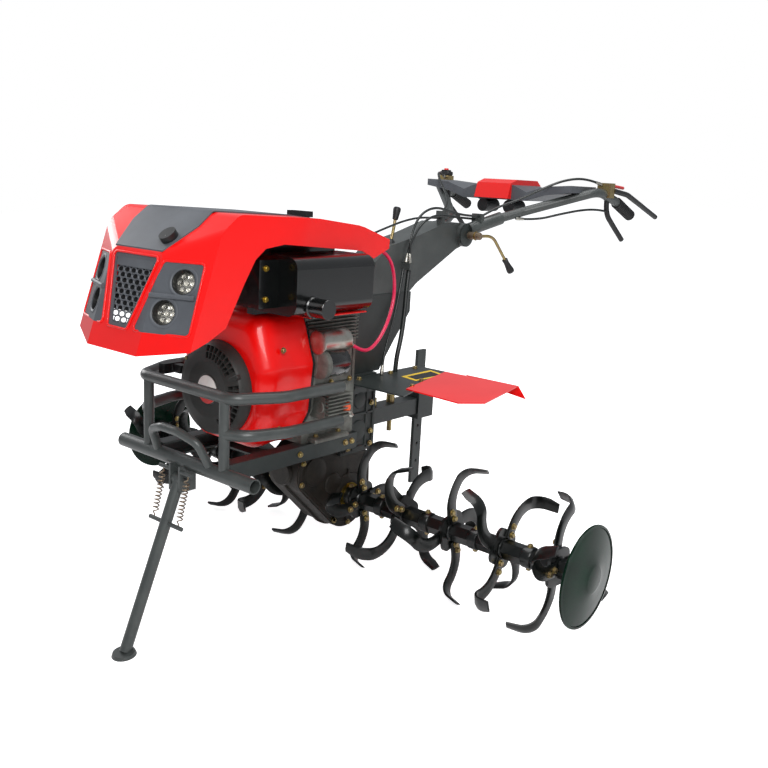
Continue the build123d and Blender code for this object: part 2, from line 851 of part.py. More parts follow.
red_plan = [(234, 0), (406, -17), (448, 36), (398, 266), (170, 254)]
with BuildPart() as extension_left:
    with BuildSketch(Plane.XY.offset(fender_z)):
        with BuildLine():
            Polyline(*red_plan, close=True)
        make_face()
    extrude(amount=fender_thickness)
    with BuildSketch(Plane.XZ.offset(-264)):
        with BuildLine():
            Polyline(
                (398, fender_z + fender_thickness),
                (424, fender_z - 28),
                (300, fender_z - 14),
                (230, fender_z + fender_thickness),
                close=True,
            )
        make_face()
    extrude(amount=-fender_thickness)
with BuildPart() as fender_extensions:
    add(extension_left.part)
    add(fenders.part, mode=Mode.SUBTRACT)
    mirror(about=Plane.YZ)
pieces["fender_extensions"] = fender_extensions

# Hitch arm with a socket for the drag bar and two pins
socket_y = drag_bar_y
with BuildPart() as hitch_frame:
    arm_rear = socket_y + 36
    with Locations((0, (housing_rear_y + arm_rear) / 2, 190)):
        Box(2 * hitch_half_width, arm_rear - housing_rear_y, 46)
    with Locations((0, socket_y, 190)):
        Box(2 * hitch_half_width + 10, 72, 78)
    with Locations((0, socket_y, 190)):
        Box(
            drag_bar_thickness + 2 * drag_bar_fit,
            drag_bar_width + 2 * drag_bar_fit,
            120,
            mode=Mode.SUBTRACT,
        )
    with BuildSketch(Plane.XY.offset(120)):
        with Locations((0, 150), (0, 230)):
            Circle(hitch_pin_radius + pin_clearance / 2)
    extrude(amount=140, mode=Mode.SUBTRACT)
pieces["hitch_frame"] = hitch_frame

with BuildPart() as hitch_pins:
    for pin_y in (150, 230):
        add(rod((0, pin_y, 128), (0, pin_y, 226), hitch_pin_radius))
        add(rod((0, pin_y, 213), (0, pin_y, 236), 12))
pieces["hitch_pins"] = hitch_pins

with BuildPart() as drag_bar:
    with Locations((0, drag_bar_y, drag_bar_top_z - drag_bar_length / 2)):
        Box(drag_bar_thickness, drag_bar_width, drag_bar_length)
    with BuildSketch(Plane.YZ.offset(-20)):
        with GridLocations(0, 55, 1, 6):
            with Locations((drag_bar_y, drag_bar_top_z - drag_bar_length / 2)):
                Circle(5)
    extrude(amount=40, mode=Mode.SUBTRACT)
pieces["drag_bar"] = drag_bar

# Pedestal and stem of the handle, joined by the swivel pin
with BuildPart() as handle_pedestal:
    add(
        side_prism(
            [(-10, housing_top_z), (112, housing_top_z), (171, 407), (235, 483), (235, pedestal_top_z)]
            + [(62, pedestal_top_z), (20, 470)],
            pedestal_half_width,
        )
    )
    with BuildSketch(Plane.XY.offset(pedestal_top_z)):
        with Locations((0, swivel_y)):
            Circle(swivel_pin_radius)
    extrude(amount=swivel_pin_height)
pieces["handle_pedestal"] = handle_pedestal

stem_bottom_z = pedestal_top_z + seat_gap
with BuildPart() as handle_stem:
    add(
        side_prism(
            [(62, stem_bottom_z), (232, stem_bottom_z), (262, 560), (440, 650), (466, 658)]
            + [(466, 724), (386, 727), (264, 693), (132, 664), (80, 624)],
            stem_half_width,
        )
    )
    with BuildSketch(Plane.YZ.offset(-stem_half_width)):
        with Locations((hub_y, hub_z)):
            Circle(hub_radius)
    extrude(amount=2 * stem_half_width)
    with BuildSketch(Plane.YZ.offset(-stem_half_width)):
        with Locations((hub_y, hub_z)):
            Circle(hub_bolt_radius + pin_clearance)
    extrude(amount=2 * stem_half_width, mode=Mode.SUBTRACT)
    with BuildSketch(Plane.XY.offset(stem_bottom_z)):
        with Locations((0, swivel_y)):
            Circle(swivel_pin_radius + pin_clearance)
    extrude(amount=swivel_pin_height + 2, mode=Mode.SUBTRACT)
    with Locations(stem_clip_center):
        Box(*stem_clip_size)
    with Locations(crest_clip_center):
        Box(*crest_clip_size)
pieces["handle_stem"] = handle_stem

with BuildPart() as gear_lever:
    add(rod((18, 170, 668), (18, 186, 740), 5))
    add(rod((18, 184.5, 733), (18, 192, 768), 11))
    add(rod((18, 170, 668), (18, 170.6, 682), 15))
    add(handle_stem.part, mode=Mode.SUBTRACT)
pieces["gear_lever"] = gear_lever

# Handlebar: hub discs on the tilt bolt, sleeves, bars and grips
disc_inner = stem_half_width + seat_gap
disc_outer = disc_inner + hub_disc_thickness
grip_turn = Vector(300, 800, 836)
grip_start = Vector(310, 891, 810)
grip_end = Vector(314, 996, 768)
bar_route = [
    (disc_outer - 2, hub_y + 14, hub_z + 16),
    (94, 590, 743),
    (140, 645, 766),
    tuple(grip_turn),
    tuple(grip_start),
    tuple(grip_end),
]
bar_radii = [60, 70, 60, 90]
with BuildPart() as bar_left:
    add(tube(bar_route, bar_radii, bar_diameter, 0))
    add(rod(bar_route[0], bar_route[1], sleeve_diameter / 2))
    with Locations((0, hub_y, hub_z)):
        Box(2 * disc_inner, 4 * hub_radius, 4 * hub_radius, mode=Mode.SUBTRACT)
    with BuildSketch(Plane.YZ.offset(disc_inner)):
        with Locations((hub_y, hub_z)):
            Circle(hub_radius)
    extrude(amount=hub_disc_thickness)
with BuildPart() as handlebar:
    add(bar_left.part)
    with Locations(bar_clip_center):
        Box(*bar_clip_size)
    mirror(about=Plane.YZ)
    add(rod((-disc_outer - 8, hub_y, hub_z), (disc_outer + 8, hub_y, hub_z), hub_bolt_radius))
pieces["handlebar"] = handlebar

with BuildPart() as grip_left:
    grip_run = grip_end - grip_start
    add(rod(grip_start + grip_run * 0.12, grip_end + grip_run * 0.04, grip_diameter / 2))
with BuildPart() as grips:
    add(grip_left.part)
    mirror(about=Plane.YZ)
    add(handlebar.part, mode=Mode.SUBTRACT)
pieces["grips"] = grips

with BuildPart() as handle_panel:
    half = [(0, 842), (66, 842), (116, 822), (180, 842), (264, 848), (264, 828), (180, 816)]
    half += [(116, 796), (0, 796)]
    with BuildSketch(Plane.XZ.offset(-690)):
        with BuildLine():
            Polyline(*half, *[(-x, z) for x, z in reversed(half[1:-1])], close=True)
        make_face()
    extrude(amount=-160)
    add(handlebar.part, mode=Mode.SUBTRACT)
pieces["handle_panel"] = handle_panel

with BuildPart() as panel_cover:
    with BuildSketch(Plane.YZ):
        with BuildLine():
            Polyline(
                (670, 800),
                (684, 846),
                (720, 858),
                (840, 858),
                (864, 842),
                (690, 842),
                (690, 800),
                close=True,
            )
        make_face()
    extrude(amount=62, both=True)
pieces["panel_cover"] = panel_cover

with BuildPart() as panel_rests:
    with BuildSketch(Plane.XZ.offset(-700)):
        with Locations((48, 776), (-48, 776)):
            Circle(20)
    extrude(amount=-70)
pieces["panel_rests"] = panel_rests

# Levers at the left grip, with their bracket, and the switch box at the right one
with BuildPart() as bracket_left:
    with Locations((302, 842, 840)):
        Box(44, 30, 44)
with BuildPart() as lever_brackets:
    add(bracket_left.part)
    mirror(about=Plane.YZ)
    add(handlebar.part, mode=Mode.SUBTRACT)
pieces["lever_brackets"] = lever_brackets

upper_lever = [(320, 857, 840), (324, 946, 830), (318, 1060, 800), (312, 1200, 762)]
lower_lever = [(300, 857, 822), (300, 862, 770), (302, 920, 730), (306, 976, 690)]
with BuildPart() as lever_left:
    add(tube(upper_lever, [120, 160], 16, 0))
    add(tube(lower_lever, [60, 90], 16, 0))
with BuildPart() as clutch_levers:
    add(lever_left.part)
    mirror(about=Plane.YZ)
    add(handlebar.part, mode=Mode.SUBTRACT)
    add(grips.part, mode=Mode.SUBTRACT)
    add(lever_brackets.part, mode=Mode.SUBTRACT)
pieces["clutch_levers"] = clutch_levers

with BuildPart() as switch_box:
    with Locations((-302, 842, 877)):
        Box(40, 34, 30)
pieces["switch_box"] = switch_box

with BuildPart() as throttle_lever:
    add(rod((302, 857, 856), (300, 960, 850), 5))
    add(lever_brackets.part, mode=Mode.SUBTRACT)
pieces["throttle_lever"] = throttle_lever

with BuildPart() as lock_lever:
    bolt_start = disc_outer + 8
    bend = Vector(118, 520, 692)
    add(rod((bolt_start, hub_y, hub_z), (bolt_start + 42, hub_y, hub_z), 11))
    add(rod((bolt_start + 36, hub_y, hub_z), bend, 5))
    add(rod(bend, (124, 590, 618), 5))
    add(rod((123.6, 585, 623), (127, 622, 584), 12))
pieces["lock_lever"] = lock_lever

# Cables, each a round tube of straight runs with bends as large as the runs allow
def cable(points, diameter):
    """A cable through the points, and the radii of its bends."""
    corners = [Vector(*point) for point in points]
    radii = []
    for before, corner, after in zip(corners, corners[1:], corners[2:]):
        arriving, leaving = corner - before, after - corner
        half_turn = math.radians(arriving.get_angle(leaving)) / 2
        radii.append(0.45 * min(arriving.length, leaving.length) / math.tan(half_turn))
    return tube(points, radii, diameter, 0), radii


solenoid_rear = (starter_x, starter_solenoid_span[1], starter_solenoid_z - 6)
clip_bottom_z = stem_clip_center[2] - stem_clip_size[2] / 2
clip_top_z = stem_clip_center[2] + stem_clip_size[2] / 2
clip_front_y = bar_clip_center[1] - bar_clip_size[1] / 2
clip_rear_y = bar_clip_center[1] + bar_clip_size[1] / 2
crest_front_y = crest_clip_center[1] - crest_clip_size[1] / 2
cable_routes = {
    "starter_cable": (
        battery_cable_diameter,
        ("starter_motor", "fuel_tank"),
        [
            solenoid_rear,
            (160, -112, 432),
            (154, -62, 418),
            (140, -8, 434),
            (124, 46, 474),
            (116, 78, 532),
            (116, 76, 592),
            (128, 38, 646),
            (126, -14, 672),
            (102, -58, 684),
            (tank_half_width - 5, -96, 676),
        ],
    ),
    "bundle_cable_low": (
        bundle_diameter,
        ("handle_stem", "fenders"),
        [
            (64, 201, clip_bottom_z + 3),
            (66, 192, 560),
            (72, 182, 490),
            (76, 168, 420),
            (78, 148, 360),
            (78, 147, fender_z - 1.5),
        ],
    ),
    "clutch_cable_low": (
        cable_diameter,
        ("handle_stem", "fenders"),
        [
            (52, 190, clip_bottom_z + 2),
            (57, 176, 556),
            (64, 152, 490),
            (74, 118, 430),
            (80, 90, 376),
            (82, 83, fender_z - 2),
        ],
    ),
    "drive_cable_loop": (
        cable_diameter,
        ("handle_stem", "handlebar"),
        [
            (74, clip_front_y + 2, 747),
            (72, 440, 748),
            (68, 372, 758),
            (66, 300, 772),
            (64, 236, 752),
            (65, 200, 700),
            (67, 194, 655),
            (67, 198, clip_top_z - 2),
        ],
    ),
    "clutch_cable_loop": (
        cable_diameter,
        ("handle_stem", "handlebar"),
        [
            (58, clip_front_y + 2, 738),
            (57, 440, 741),
            (56, 372, 746),
            (56, 310, 748),
            (54, 254, 724),
            (53, 218, 676),
            (53, 204, 645),
            (53, 198, clip_top_z - 2),
        ],
    ),
    "throttle_cable": (
        cable_diameter - 1,
        ("fuel_tank", "handle_stem"),
        [
            (40, tank_rear_y - 2, 676),
            (42, -30, 678),
            (44, 40, 692),
            (44, 120, 714),
            (42, 200, 733),
            (38, 284, 742),
            (34, crest_front_y + 2, 738),
        ],
    ),
    "bar_cable_upper": (
        cable_diameter,
        ("handlebar", "lever_brackets"),
        [
            (71, clip_rear_y - 2, 746),
            (92, 574, 776),
            (134, 624, 800),
            (188, 662, 836),
            (238, 708, 866),
            (276, 772, 872),
            (294, 829, 854),
        ],
    ),
    "bar_cable_lower": (
        cable_diameter,
        ("clutch_levers", "handlebar"),
        [
            (128, 620, 744),
            (168, 668, 742),
            (222, 722, 764),
            (268, 776, 780),
            (294, 822, 782),
            (300, 856, 778),
        ],
    ),
}
mirrored = [(-x, y, z) for x, y, z in cable_routes["bar_cable_upper"][2]]
cable_routes["bar_cable_right"] = (cable_diameter, ("handlebar", "lever_brackets"), mirrored)
for cable_name, (diameter, ends, points) in cable_routes.items():
    with BuildPart() as strand:
        route, bends = cable(points, diameter)
        add(route)
        for end in ends:
            add(pieces[end].part, mode=Mode.SUBTRACT)
    print(cable_name, "bends", [round(bend) for bend in bends])
    pieces[cable_name] = strand

# The whole machine is turned nose-up, then set down with the origin under its middle
tilted = Location((0, 0, 0), (-park_pitch, 0, 0))
extent = Compound([builder.part for builder in pieces.values()]).moved(tilted).bounding_box()
parked = Location((-extent.center().X, -extent.center().Y, -extent.min.Z)) * tilted

os.makedirs("parts", exist_ok=True)
for name, builder in pieces.items():
    builder.part.label = name
    builder.part.locate(parked)
    export_step(builder.part, f"parts/{name}.step")
    print(name, len(builder.part.solids()), "solids")
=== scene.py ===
# %% [markdown]
# A walking power tiller, rebuilt piece by piece on top of its packed engineering model.
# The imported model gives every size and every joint, so this file adds the finishes and the
# finer pieces and never moves a node. The machine stands nose-up on its front stand, so it
# is easier to think in the machine's own frame: millimetres from the rotor's axle, X to the
# machine's left, Y to its rear, Z up. One function carries such points into the scene.

# %% Load the frame
import json
import math

import bmesh
import bpy
import numpy as np
from mathutils import Matrix, Vector

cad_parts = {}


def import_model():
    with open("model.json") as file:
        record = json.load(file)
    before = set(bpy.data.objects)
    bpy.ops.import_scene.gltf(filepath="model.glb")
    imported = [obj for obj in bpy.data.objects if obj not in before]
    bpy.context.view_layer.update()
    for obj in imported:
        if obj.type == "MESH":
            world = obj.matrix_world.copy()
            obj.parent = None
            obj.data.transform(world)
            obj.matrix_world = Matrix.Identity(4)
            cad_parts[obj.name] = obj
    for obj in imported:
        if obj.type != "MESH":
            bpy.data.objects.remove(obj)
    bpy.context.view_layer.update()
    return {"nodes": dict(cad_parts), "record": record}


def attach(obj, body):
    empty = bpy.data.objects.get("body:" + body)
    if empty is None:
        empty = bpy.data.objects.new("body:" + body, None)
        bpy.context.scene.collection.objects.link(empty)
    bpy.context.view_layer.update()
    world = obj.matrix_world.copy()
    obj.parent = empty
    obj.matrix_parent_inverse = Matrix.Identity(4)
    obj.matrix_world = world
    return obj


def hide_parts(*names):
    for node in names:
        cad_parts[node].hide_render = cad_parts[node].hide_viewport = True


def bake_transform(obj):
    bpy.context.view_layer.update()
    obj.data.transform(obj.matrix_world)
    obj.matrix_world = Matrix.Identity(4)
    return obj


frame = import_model()

# %% The machine's frame in the scene
joints = {joint["name"]: joint for joint in frame["record"]["behaviour"]["joints"]}
axle = np.array(joints["rotor_spin"]["pos_m"])
machine_up = np.array(joints["depth_bar_slide"]["axis"])
machine_right = np.array([1.0, 0.0, 0.0])
machine_back = np.cross(machine_up, machine_right)
turning = np.array([machine_right, machine_back, machine_up])


def world(points):
    """Machine points in millimetres, turned by the parked pitch and moved to the axle, in metres."""
    return np.asarray(points, float) @ turning * 0.001 + axle


def machine(points):
    """Scene points in metres back in the machine's frame, in millimetres."""
    return (np.asarray(points, float) - axle) @ turning.T * 1000


print("nose-up by", round(math.degrees(math.asin(machine_up[1])), 2), "degrees")

# %% [markdown]
# The camera looks at the machine's front left quarter from a little above, about two and a
# half metres away. Its place was solved from the picture, so it is written as the two
# angles, the roll and the lens that this solution gave.

# %% Camera
azimuth, elevation, roll = math.radians(39.32), math.radians(12.67), math.radians(3.08)
right = np.array([math.cos(azimuth), math.sin(azimuth), 0])
level = math.cos(elevation)
ahead = np.array([-math.sin(azimuth) * level, math.cos(azimuth) * level, -math.sin(elevation)])
above = np.cross(right, ahead)
rolled_right = math.cos(roll) * right + math.sin(roll) * above
rolled_above = -math.sin(roll) * right + math.cos(roll) * above
axle_in_view = np.array([-140.7, -289.63, 2500.0])
eye = -(axle_in_view @ np.array([rolled_right, rolled_above, ahead]))

sensor_mm, focal_pixels, picture_pixels = 36, 909.09, 768
camera_data = bpy.data.cameras.new("camera")
camera_data.sensor_width = sensor_mm
camera_data.lens = sensor_mm * focal_pixels / picture_pixels
camera = bpy.data.objects.new("camera", camera_data)
bpy.context.scene.collection.objects.link(camera)
basis = np.array([rolled_right, rolled_above, -ahead]) @ turning
place = Matrix.Identity(4)
for column in range(3):
    for row in range(3):
        place[row][column] = basis[column][row]
    place[column][3] = world(eye)[column]
camera.matrix_world = place
bpy.context.scene.camera = camera
print("camera at", [round(value, 3) for value in world(eye)])

# %% [markdown]
# Every new piece is a grid of points worked out with numpy. Three kinds of grid make nearly
# everything here: a profile turned about an axis, a section carried along a path, and a
# loft through a row of outlines. Each returns vertices and faces, and one more function
# joins such shells into a piece, so that a piece of many small parts stays one object.

# %% Shells from grids
def fan_volume(points, faces):
    """Six times the signed volume under faces of equal size, each taken as a fan of triangles."""
    corner = points[faces]
    volume = 0.0
    for step in range(1, faces.shape[1] - 1):
        volume += np.einsum("ij,ij->", corner[:, 0], np.cross(corner[:, step], corner[:, step + 1]))
    return volume


def shell(rows, ring=False):
    """Rows of points, shape (n, m, 3): quads between neighbouring rows, each row closed on itself.
    A ring's last row meets its first; otherwise a flat face closes each end. Faces look outwards."""
    rows = np.asarray(rows, float)
    count, around = rows.shape[:2]
    index = np.arange(count * around).reshape(count, around)
    following = np.roll(index, -1, axis=1)
    next_row, next_following = np.roll(index, -1, axis=0), np.roll(following, -1, axis=0)
    quads = np.stack([index, following, next_following, next_row], axis=-1)
    groups = [quads.reshape(-1, 4)]
    if not ring:
        groups = [quads[:-1].reshape(-1, 4), index[:1, ::-1], index[-1:]]
    points = rows.reshape(-1, 3)
    centred = points - points.mean(0)
    volume = sum(fan_volume(centred, group) for group in groups)
    faces = [face for group in groups for face in group.tolist()]
    return points, faces if volume >= 0 else [face[::-1] for face in faces]


def square_frame(along):
    """Two unit vectors square to a direction and to each other."""
    along = np.asarray(along, float) / np.linalg.norm(along)
    helper = np.array([0, 0, 1.0]) if abs(along[2]) < 0.9 else np.array([1.0, 0, 0])
    across = np.cross(helper, along)
    across /= np.linalg.norm(across)
    return across, np.cross(along, across), along


def lathe(origin, along, profile, around=48, ring=False):
    """A profile of (radius, distance along the axis) turned about the axis: each row is a circle."""
    across, upward, along = square_frame(along)
    angle = np.linspace(0, 2 * math.pi, around, endpoint=False)
    circle = np.cos(angle)[:, None] * across + np.sin(angle)[:, None] * upward
    profile = np.asarray(profile, float)
    radius, distance = profile[:, 0, None, None], profile[:, 1, None, None]
    rows = np.asarray(origin, float) + radius * circle + distance * along
    return shell(rows, ring)


def sweep(path, section, first_across=None):
    """A section of (across, upward) points carried along a path. The frame is turned from point to
    point only as the path bends, so the section doesn't twist."""
    path = np.asarray(path, float)
    run = np.gradient(path, axis=0)
    run /= np.linalg.norm(run, axis=1)[:, None]
    across = square_frame(run[0])[0] if first_across is None else np.asarray(first_across, float)
    frames = []
    for step in run:
        across = across - step * (across @ step)
        across /= np.linalg.norm(across)
        frames.append((across, np.cross(step, across)))
    frames = np.array(frames)
    section = np.asarray(section, float)
    if section.ndim == 2:
        section = np.broadcast_to(section, (len(path),) + section.shape)
    rows = path[:, None] + section[..., 0, None] * frames[:, None, 0]
    rows = rows + section[..., 1, None] * frames[:, None, 1]
    return shell(rows)


def circle_section(radius, around=16):
    """Points of a circle, radius times the cosine and the sine."""
    angle = np.linspace(0, 2 * math.pi, around, endpoint=False)
    return np.stack([radius * np.cos(angle), radius * np.sin(angle)], axis=1)


def rounded_outline(half_width, half_height, radius, per_corner=6):
    """A rectangle whose corners are quarter circles, as (across, upward) points."""
    angle = np.linspace(0, math.pi / 2, per_corner)
    points = []
    for quarter, (sx, sy) in enumerate(((1, 1), (-1, 1), (-1, -1), (1, -1))):
        turn = angle + quarter * math.pi / 2
        across = sx * (half_width - radius) + radius * np.cos(turn)
        upward = sy * (half_height - radius) + radius * np.sin(turn)
        points.append(np.stack([across, upward], axis=1))
    return np.concatenate(points)


def block(center, size, corner=3.0, edge=1.5, across=(1, 0, 0), upward=(0, 0, 1)):
    """A block with rounded corners and softened rims: a loft of four rounded rectangles, the first
    and the last drawn in by the edge."""
    across, upward = np.asarray(across, float), np.asarray(upward, float)
    depth_way = np.cross(upward, across)
    reach = size[1] / 2
    rows = []
    for inset, depth in ((edge, -reach), (0, -reach + edge), (0, reach - edge), (edge, reach)):
        radius = max(corner - inset, 0.4)
        outline = rounded_outline(size[0] / 2 - inset, size[2] / 2 - inset, radius)
        row = np.asarray(center, float) + outline[:, :1] * across + outline[:, 1:] * upward
        rows.append(row + depth * depth_way)
    return shell(rows)


def bolts(spots, ways, flats=13.0, washer=True):
    """Bolt heads at many spots: each a turned profile of few sides, twelve with a washer and six
    without, with a softened top."""
    spots, ways = np.atleast_2d(np.asarray(spots, float)), np.asarray(ways, float)
    ways = np.broadcast_to(ways, spots.shape)
    radius = flats / 2 / math.cos(math.pi / 6)
    profile = [(radius, 0), (radius, flats * 0.42), (radius * 0.84, flats * 0.52)]
    if washer:
        rim, lift = radius * 1.35, 1.6
        raised = [(r, d + lift) for r, d in profile[1:]]
        profile = [(rim, 0), (rim, lift), (radius, lift)] + raised
    return [lathe(spot, way, profile, 12 if washer else 6) for spot, way in zip(spots, ways)]


def merge(shells):
    """Several shells as one list of vertices and faces, each shell's indices moved past the last."""
    points, faces, start = [], [], 0
    for own_points, own_faces in shells:
        points.append(own_points)
        faces += [[corner + start for corner in face] for face in own_faces]
        start += len(own_points)
    return np.concatenate(points), faces


def piece(name, shells, finish, body="chassis", replaces=(), smooth=40.0):
    """One object from shells in the machine's frame, smooth across edges flatter than the angle.
    It rides a body unless that is None, and takes its finish as its one material."""
    points, faces = merge(shells)
    mesh = bpy.data.meshes.new(name)
    mesh.from_pydata(world(points).tolist(), [], faces)
    mesh.validate()
    mesh.materials.append(finish)
    mesh.polygons.foreach_set("use_smooth", np.ones(len(mesh.polygons), bool))
    mesh.set_sharp_from_angle(angle=math.radians(smooth))
    mesh.update()
    made = bpy.data.objects.new(name, mesh)
    bpy.context.scene.collection.objects.link(made)
    if replaces:
        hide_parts(*replaces)
    if body:
        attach(made, body)
    print(name, len(faces), "faces")
    return made

# %% [markdown]
# The finishes come next. Colours are written as the hex values one would pick from a picture
# and turned to linear light by one function. One more function adds a node with its settings
# and links, and every material is built with it. Patterns read Object coordinates, which are
# metres here, so a noise scale is one over the size of the grain it should show.

# %% Colour and node helpers
def linear(code):
    """An sRGB hex value as linear red, green, blue and a full alpha."""
    channels = [int(code[place : place + 2], 16) / 255 for place in (0, 2, 4)]
    return [c / 12.92 if c <= 0.04045 else ((c + 0.055) / 1.055) ** 2.4 for c in channels] + [1.0]


def add_node(material, kind, settings=None, links=None):
    """Adds one node: settings name its attributes or sockets, links name a socket and its source."""
    node = material.node_tree.nodes.new(kind)
    for key, value in (settings or {}).items():
        if isinstance(key, str) and hasattr(node, key) and key not in node.inputs:
            setattr(node, key, value)
        else:
            node.inputs[key].default_value = value
    for key, source in (links or {}).items():
        material.node_tree.links.new(source, node.inputs[key])
    return node


def grain_of(millimetres):
    """The noise scale whose features are about this size."""
    return 1000.0 / millimetres


def surface(name, colour, dusted, mottle_mm, grain_mm, depth_mm, rough, spread, coat=0.0,
    coat_roughness=0.03, specular=0.5, metallic=0.0):
    """A finish over a whole piece: its colour drifts towards a dusted one in wide soft patches, its
    roughness follows the same patches, and a fine grain lifts the surface a little."""
    material = bpy.data.materials.new(name)
    material.use_nodes = True
    shader = material.node_tree.nodes["Principled BSDF"]
    shader.inputs["Coat Weight"].default_value = coat
    shader.inputs["Coat Roughness"].default_value = coat_roughness
    shader.inputs["Specular IOR Level"].default_value = specular
    shader.inputs["Metallic"].default_value = metallic
    place = add_node(material, "ShaderNodeTexCoord")
    here = {"Vector": place.outputs["Object"]}
    broad = {"Scale": grain_of(mottle_mm), "Detail": 5.0, "Roughness": 0.6}
    patches = add_node(material, "ShaderNodeTexNoise", broad, here)
    tint = add_node(material, "ShaderNodeValToRGB", {}, {"Fac": patches.outputs["Fac"]})
    tint.color_ramp.elements[0].position = 0.42
    tint.color_ramp.elements[0].color = linear(colour)
    tint.color_ramp.elements[1].position = 0.78
    tint.color_ramp.elements[1].color = linear(dusted)
    between = {"To Min": rough, "To Max": rough + spread}
    gloss = add_node(material, "ShaderNodeMapRange", between, {"Value": patches.outputs["Fac"]})
    fine = {"Scale": grain_of(grain_mm), "Detail": 2.0}
    grain = add_node(material, "ShaderNodeTexNoise", fine, here)
    raised = {"Strength": 1.0, "Distance": depth_mm / 1000}
    lift = add_node(material, "ShaderNodeBump", raised, {"Height": grain.outputs["Fac"]})
    links = material.node_tree.links
    links.new(tint.outputs["Color"], shader.inputs["Base Color"])
    links.new(gloss.outputs["Result"], shader.inputs["Roughness"])
    links.new(lift.outputs["Normal"], shader.inputs["Normal"])
    return material


# %% [markdown]
# The bright red is the maker's loudest finish: ABS hood halves and a pressed fan shroud, both
# sprayed with a two-layer gloss. A clear coat over a saturated base gives the sharp window
# highlights, and a faint orange peel of two millimetres breaks them up. The frame, stem and
# bars are powder coated in a green-grey, rougher and with a fine pebble. The rotor is dipped
# in a cheap green-black enamel that runs glossy over flat steel.

# %% Paints
red_gloss = surface(
    "sprayed gloss red", "EC0301", "E20603", mottle_mm=220, grain_mm=2.5, depth_mm=0.012,
    rough=0.30, spread=0.05, coat=0.35, coat_roughness=0.06, specular=0.3,
)
red_satin = surface(
    "moulded red ABS", "D80A05", "CC120D", mottle_mm=120, grain_mm=0.8, depth_mm=0.015,
    rough=0.36, spread=0.06, coat=0.25, coat_roughness=0.12,
)
grey_abs = surface(
    "moulded grey ABS", "4C4F54", "595D62", mottle_mm=90, grain_mm=0.9, depth_mm=0.035,
    rough=0.42, spread=0.08, specular=0.5,
)
powder_grey = surface(
    "powder coat green-grey", "3A3E3D", "474B49", mottle_mm=70, grain_mm=1.4, depth_mm=0.05,
    rough=0.34, spread=0.1, coat=0.15, coat_roughness=0.25,
)
plate_grey = surface(
    "powder coat dark grey", "1F2524", "2B3230", mottle_mm=55, grain_mm=1.4, depth_mm=0.05,
    rough=0.4, spread=0.12, coat=0.15, coat_roughness=0.3,
)
cast_grey = surface(
    "painted sand casting", "262B2A", "353A38", mottle_mm=30, grain_mm=1.6, depth_mm=0.22,
    rough=0.45, spread=0.15, specular=0.45,
)
enamel_black = surface(
    "dipped green-black enamel", "020403", "060C0A", mottle_mm=45, grain_mm=3.0, depth_mm=0.05,
    rough=0.26, spread=0.12, coat=0.2, coat_roughness=0.1, specular=0.35,
)
disc_green = surface(
    "green enamel over pressed steel", "041A10", "072C1C", mottle_mm=60, grain_mm=4.0,
    depth_mm=0.05, rough=0.2, spread=0.08, coat=0.05, coat_roughness=0.08, specular=0.16,
)
stove_black = surface(
    "heat-proof black enamel", "030404", "070A09", mottle_mm=80, grain_mm=2.5, depth_mm=0.02,
    rough=0.2, spread=0.08, coat=0.5, coat_roughness=0.05,
)

# %% [markdown]
# Bare metals keep the default IOR, and take their look from colour and roughness alone. The
# gearbox is grey iron under a thin brown oil film, so it is dark and only half metallic. The
# engine's castings are shot-blasted aluminium with a coarse grain. Bolts are zinc plated with
# a yellow passivation, which swings between straw and a faint pink.

# %% Metals
blasted_aluminium = surface(
    "shot-blasted aluminium", "777872", "555550", mottle_mm=18, grain_mm=1.2, depth_mm=0.12,
    rough=0.42, spread=0.2, metallic=0.6,
)
oiled_iron = surface(
    "oiled cast iron", "26211B", "191714", mottle_mm=22, grain_mm=1.5, depth_mm=0.3, rough=0.42,
    spread=0.2, metallic=0.35,
)
drawn_steel = surface(
    "drawn bright steel", "B9B7AF", "9A9488", mottle_mm=25, grain_mm=0.8, depth_mm=0.02,
    rough=0.25, spread=0.15, metallic=1.0,
)
yellow_zinc = surface(
    "yellow passivated zinc", "A3935F", "8E7669", mottle_mm=9, grain_mm=0.8, depth_mm=0.03,
    rough=0.3, spread=0.15, metallic=0.9,
)
brass_ring = surface(
    "turned brass", "A98F3E", "8C7433", mottle_mm=12, grain_mm=0.7, depth_mm=0.03, rough=0.3,
    spread=0.12, metallic=1.0,
)
spring_steel = surface(
    "oiled spring steel", "8B7A66", "6F6254", mottle_mm=12, grain_mm=0.8, depth_mm=0.03,
    rough=0.35, spread=0.1, metallic=0.7,
)

# %% [markdown]
# Plastics and rubber: the recoil cover is a charcoal nylon, the handles and small knobs are
# black PVC, the cables have an extruded jacket. The lamps have a bright reflector behind a
# clear lens, and the mirror in them is what reads as pale grey from the front.

# %% Plastics, rubber and lamps
charcoal_nylon = surface(
    "charcoal nylon", "2B2B29", "353432", mottle_mm=60, grain_mm=0.8, depth_mm=0.03, rough=0.48,
    spread=0.08, specular=0.4,
)
black_nylon = surface(
    "black nylon", "101112", "1B1C1D", mottle_mm=40, grain_mm=0.9, depth_mm=0.03, rough=0.42,
    spread=0.1, specular=0.45,
)
black_rubber = surface(
    "dipped black PVC", "0B0B0C", "151516", mottle_mm=25, grain_mm=0.9, depth_mm=0.04, rough=0.5,
    spread=0.12, specular=0.4,
)
cable_jacket = surface(
    "extruded black jacket", "0D1211", "1A2220", mottle_mm=30, grain_mm=1.0, depth_mm=0.01,
    rough=0.35, spread=0.08, coat=0.2, coat_roughness=0.2,
)
magenta_jacket = surface(
    "red battery cable jacket", "D60F4B", "C80C42", mottle_mm=40, grain_mm=1.0, depth_mm=0.01,
    rough=0.35, spread=0.06, coat=0.3, coat_roughness=0.15,
)
orange_plug = surface(
    "orange moulded plug", "E2541C", "CF4A17", mottle_mm=12, grain_mm=0.6, depth_mm=0.02,
    rough=0.4, spread=0.08,
)
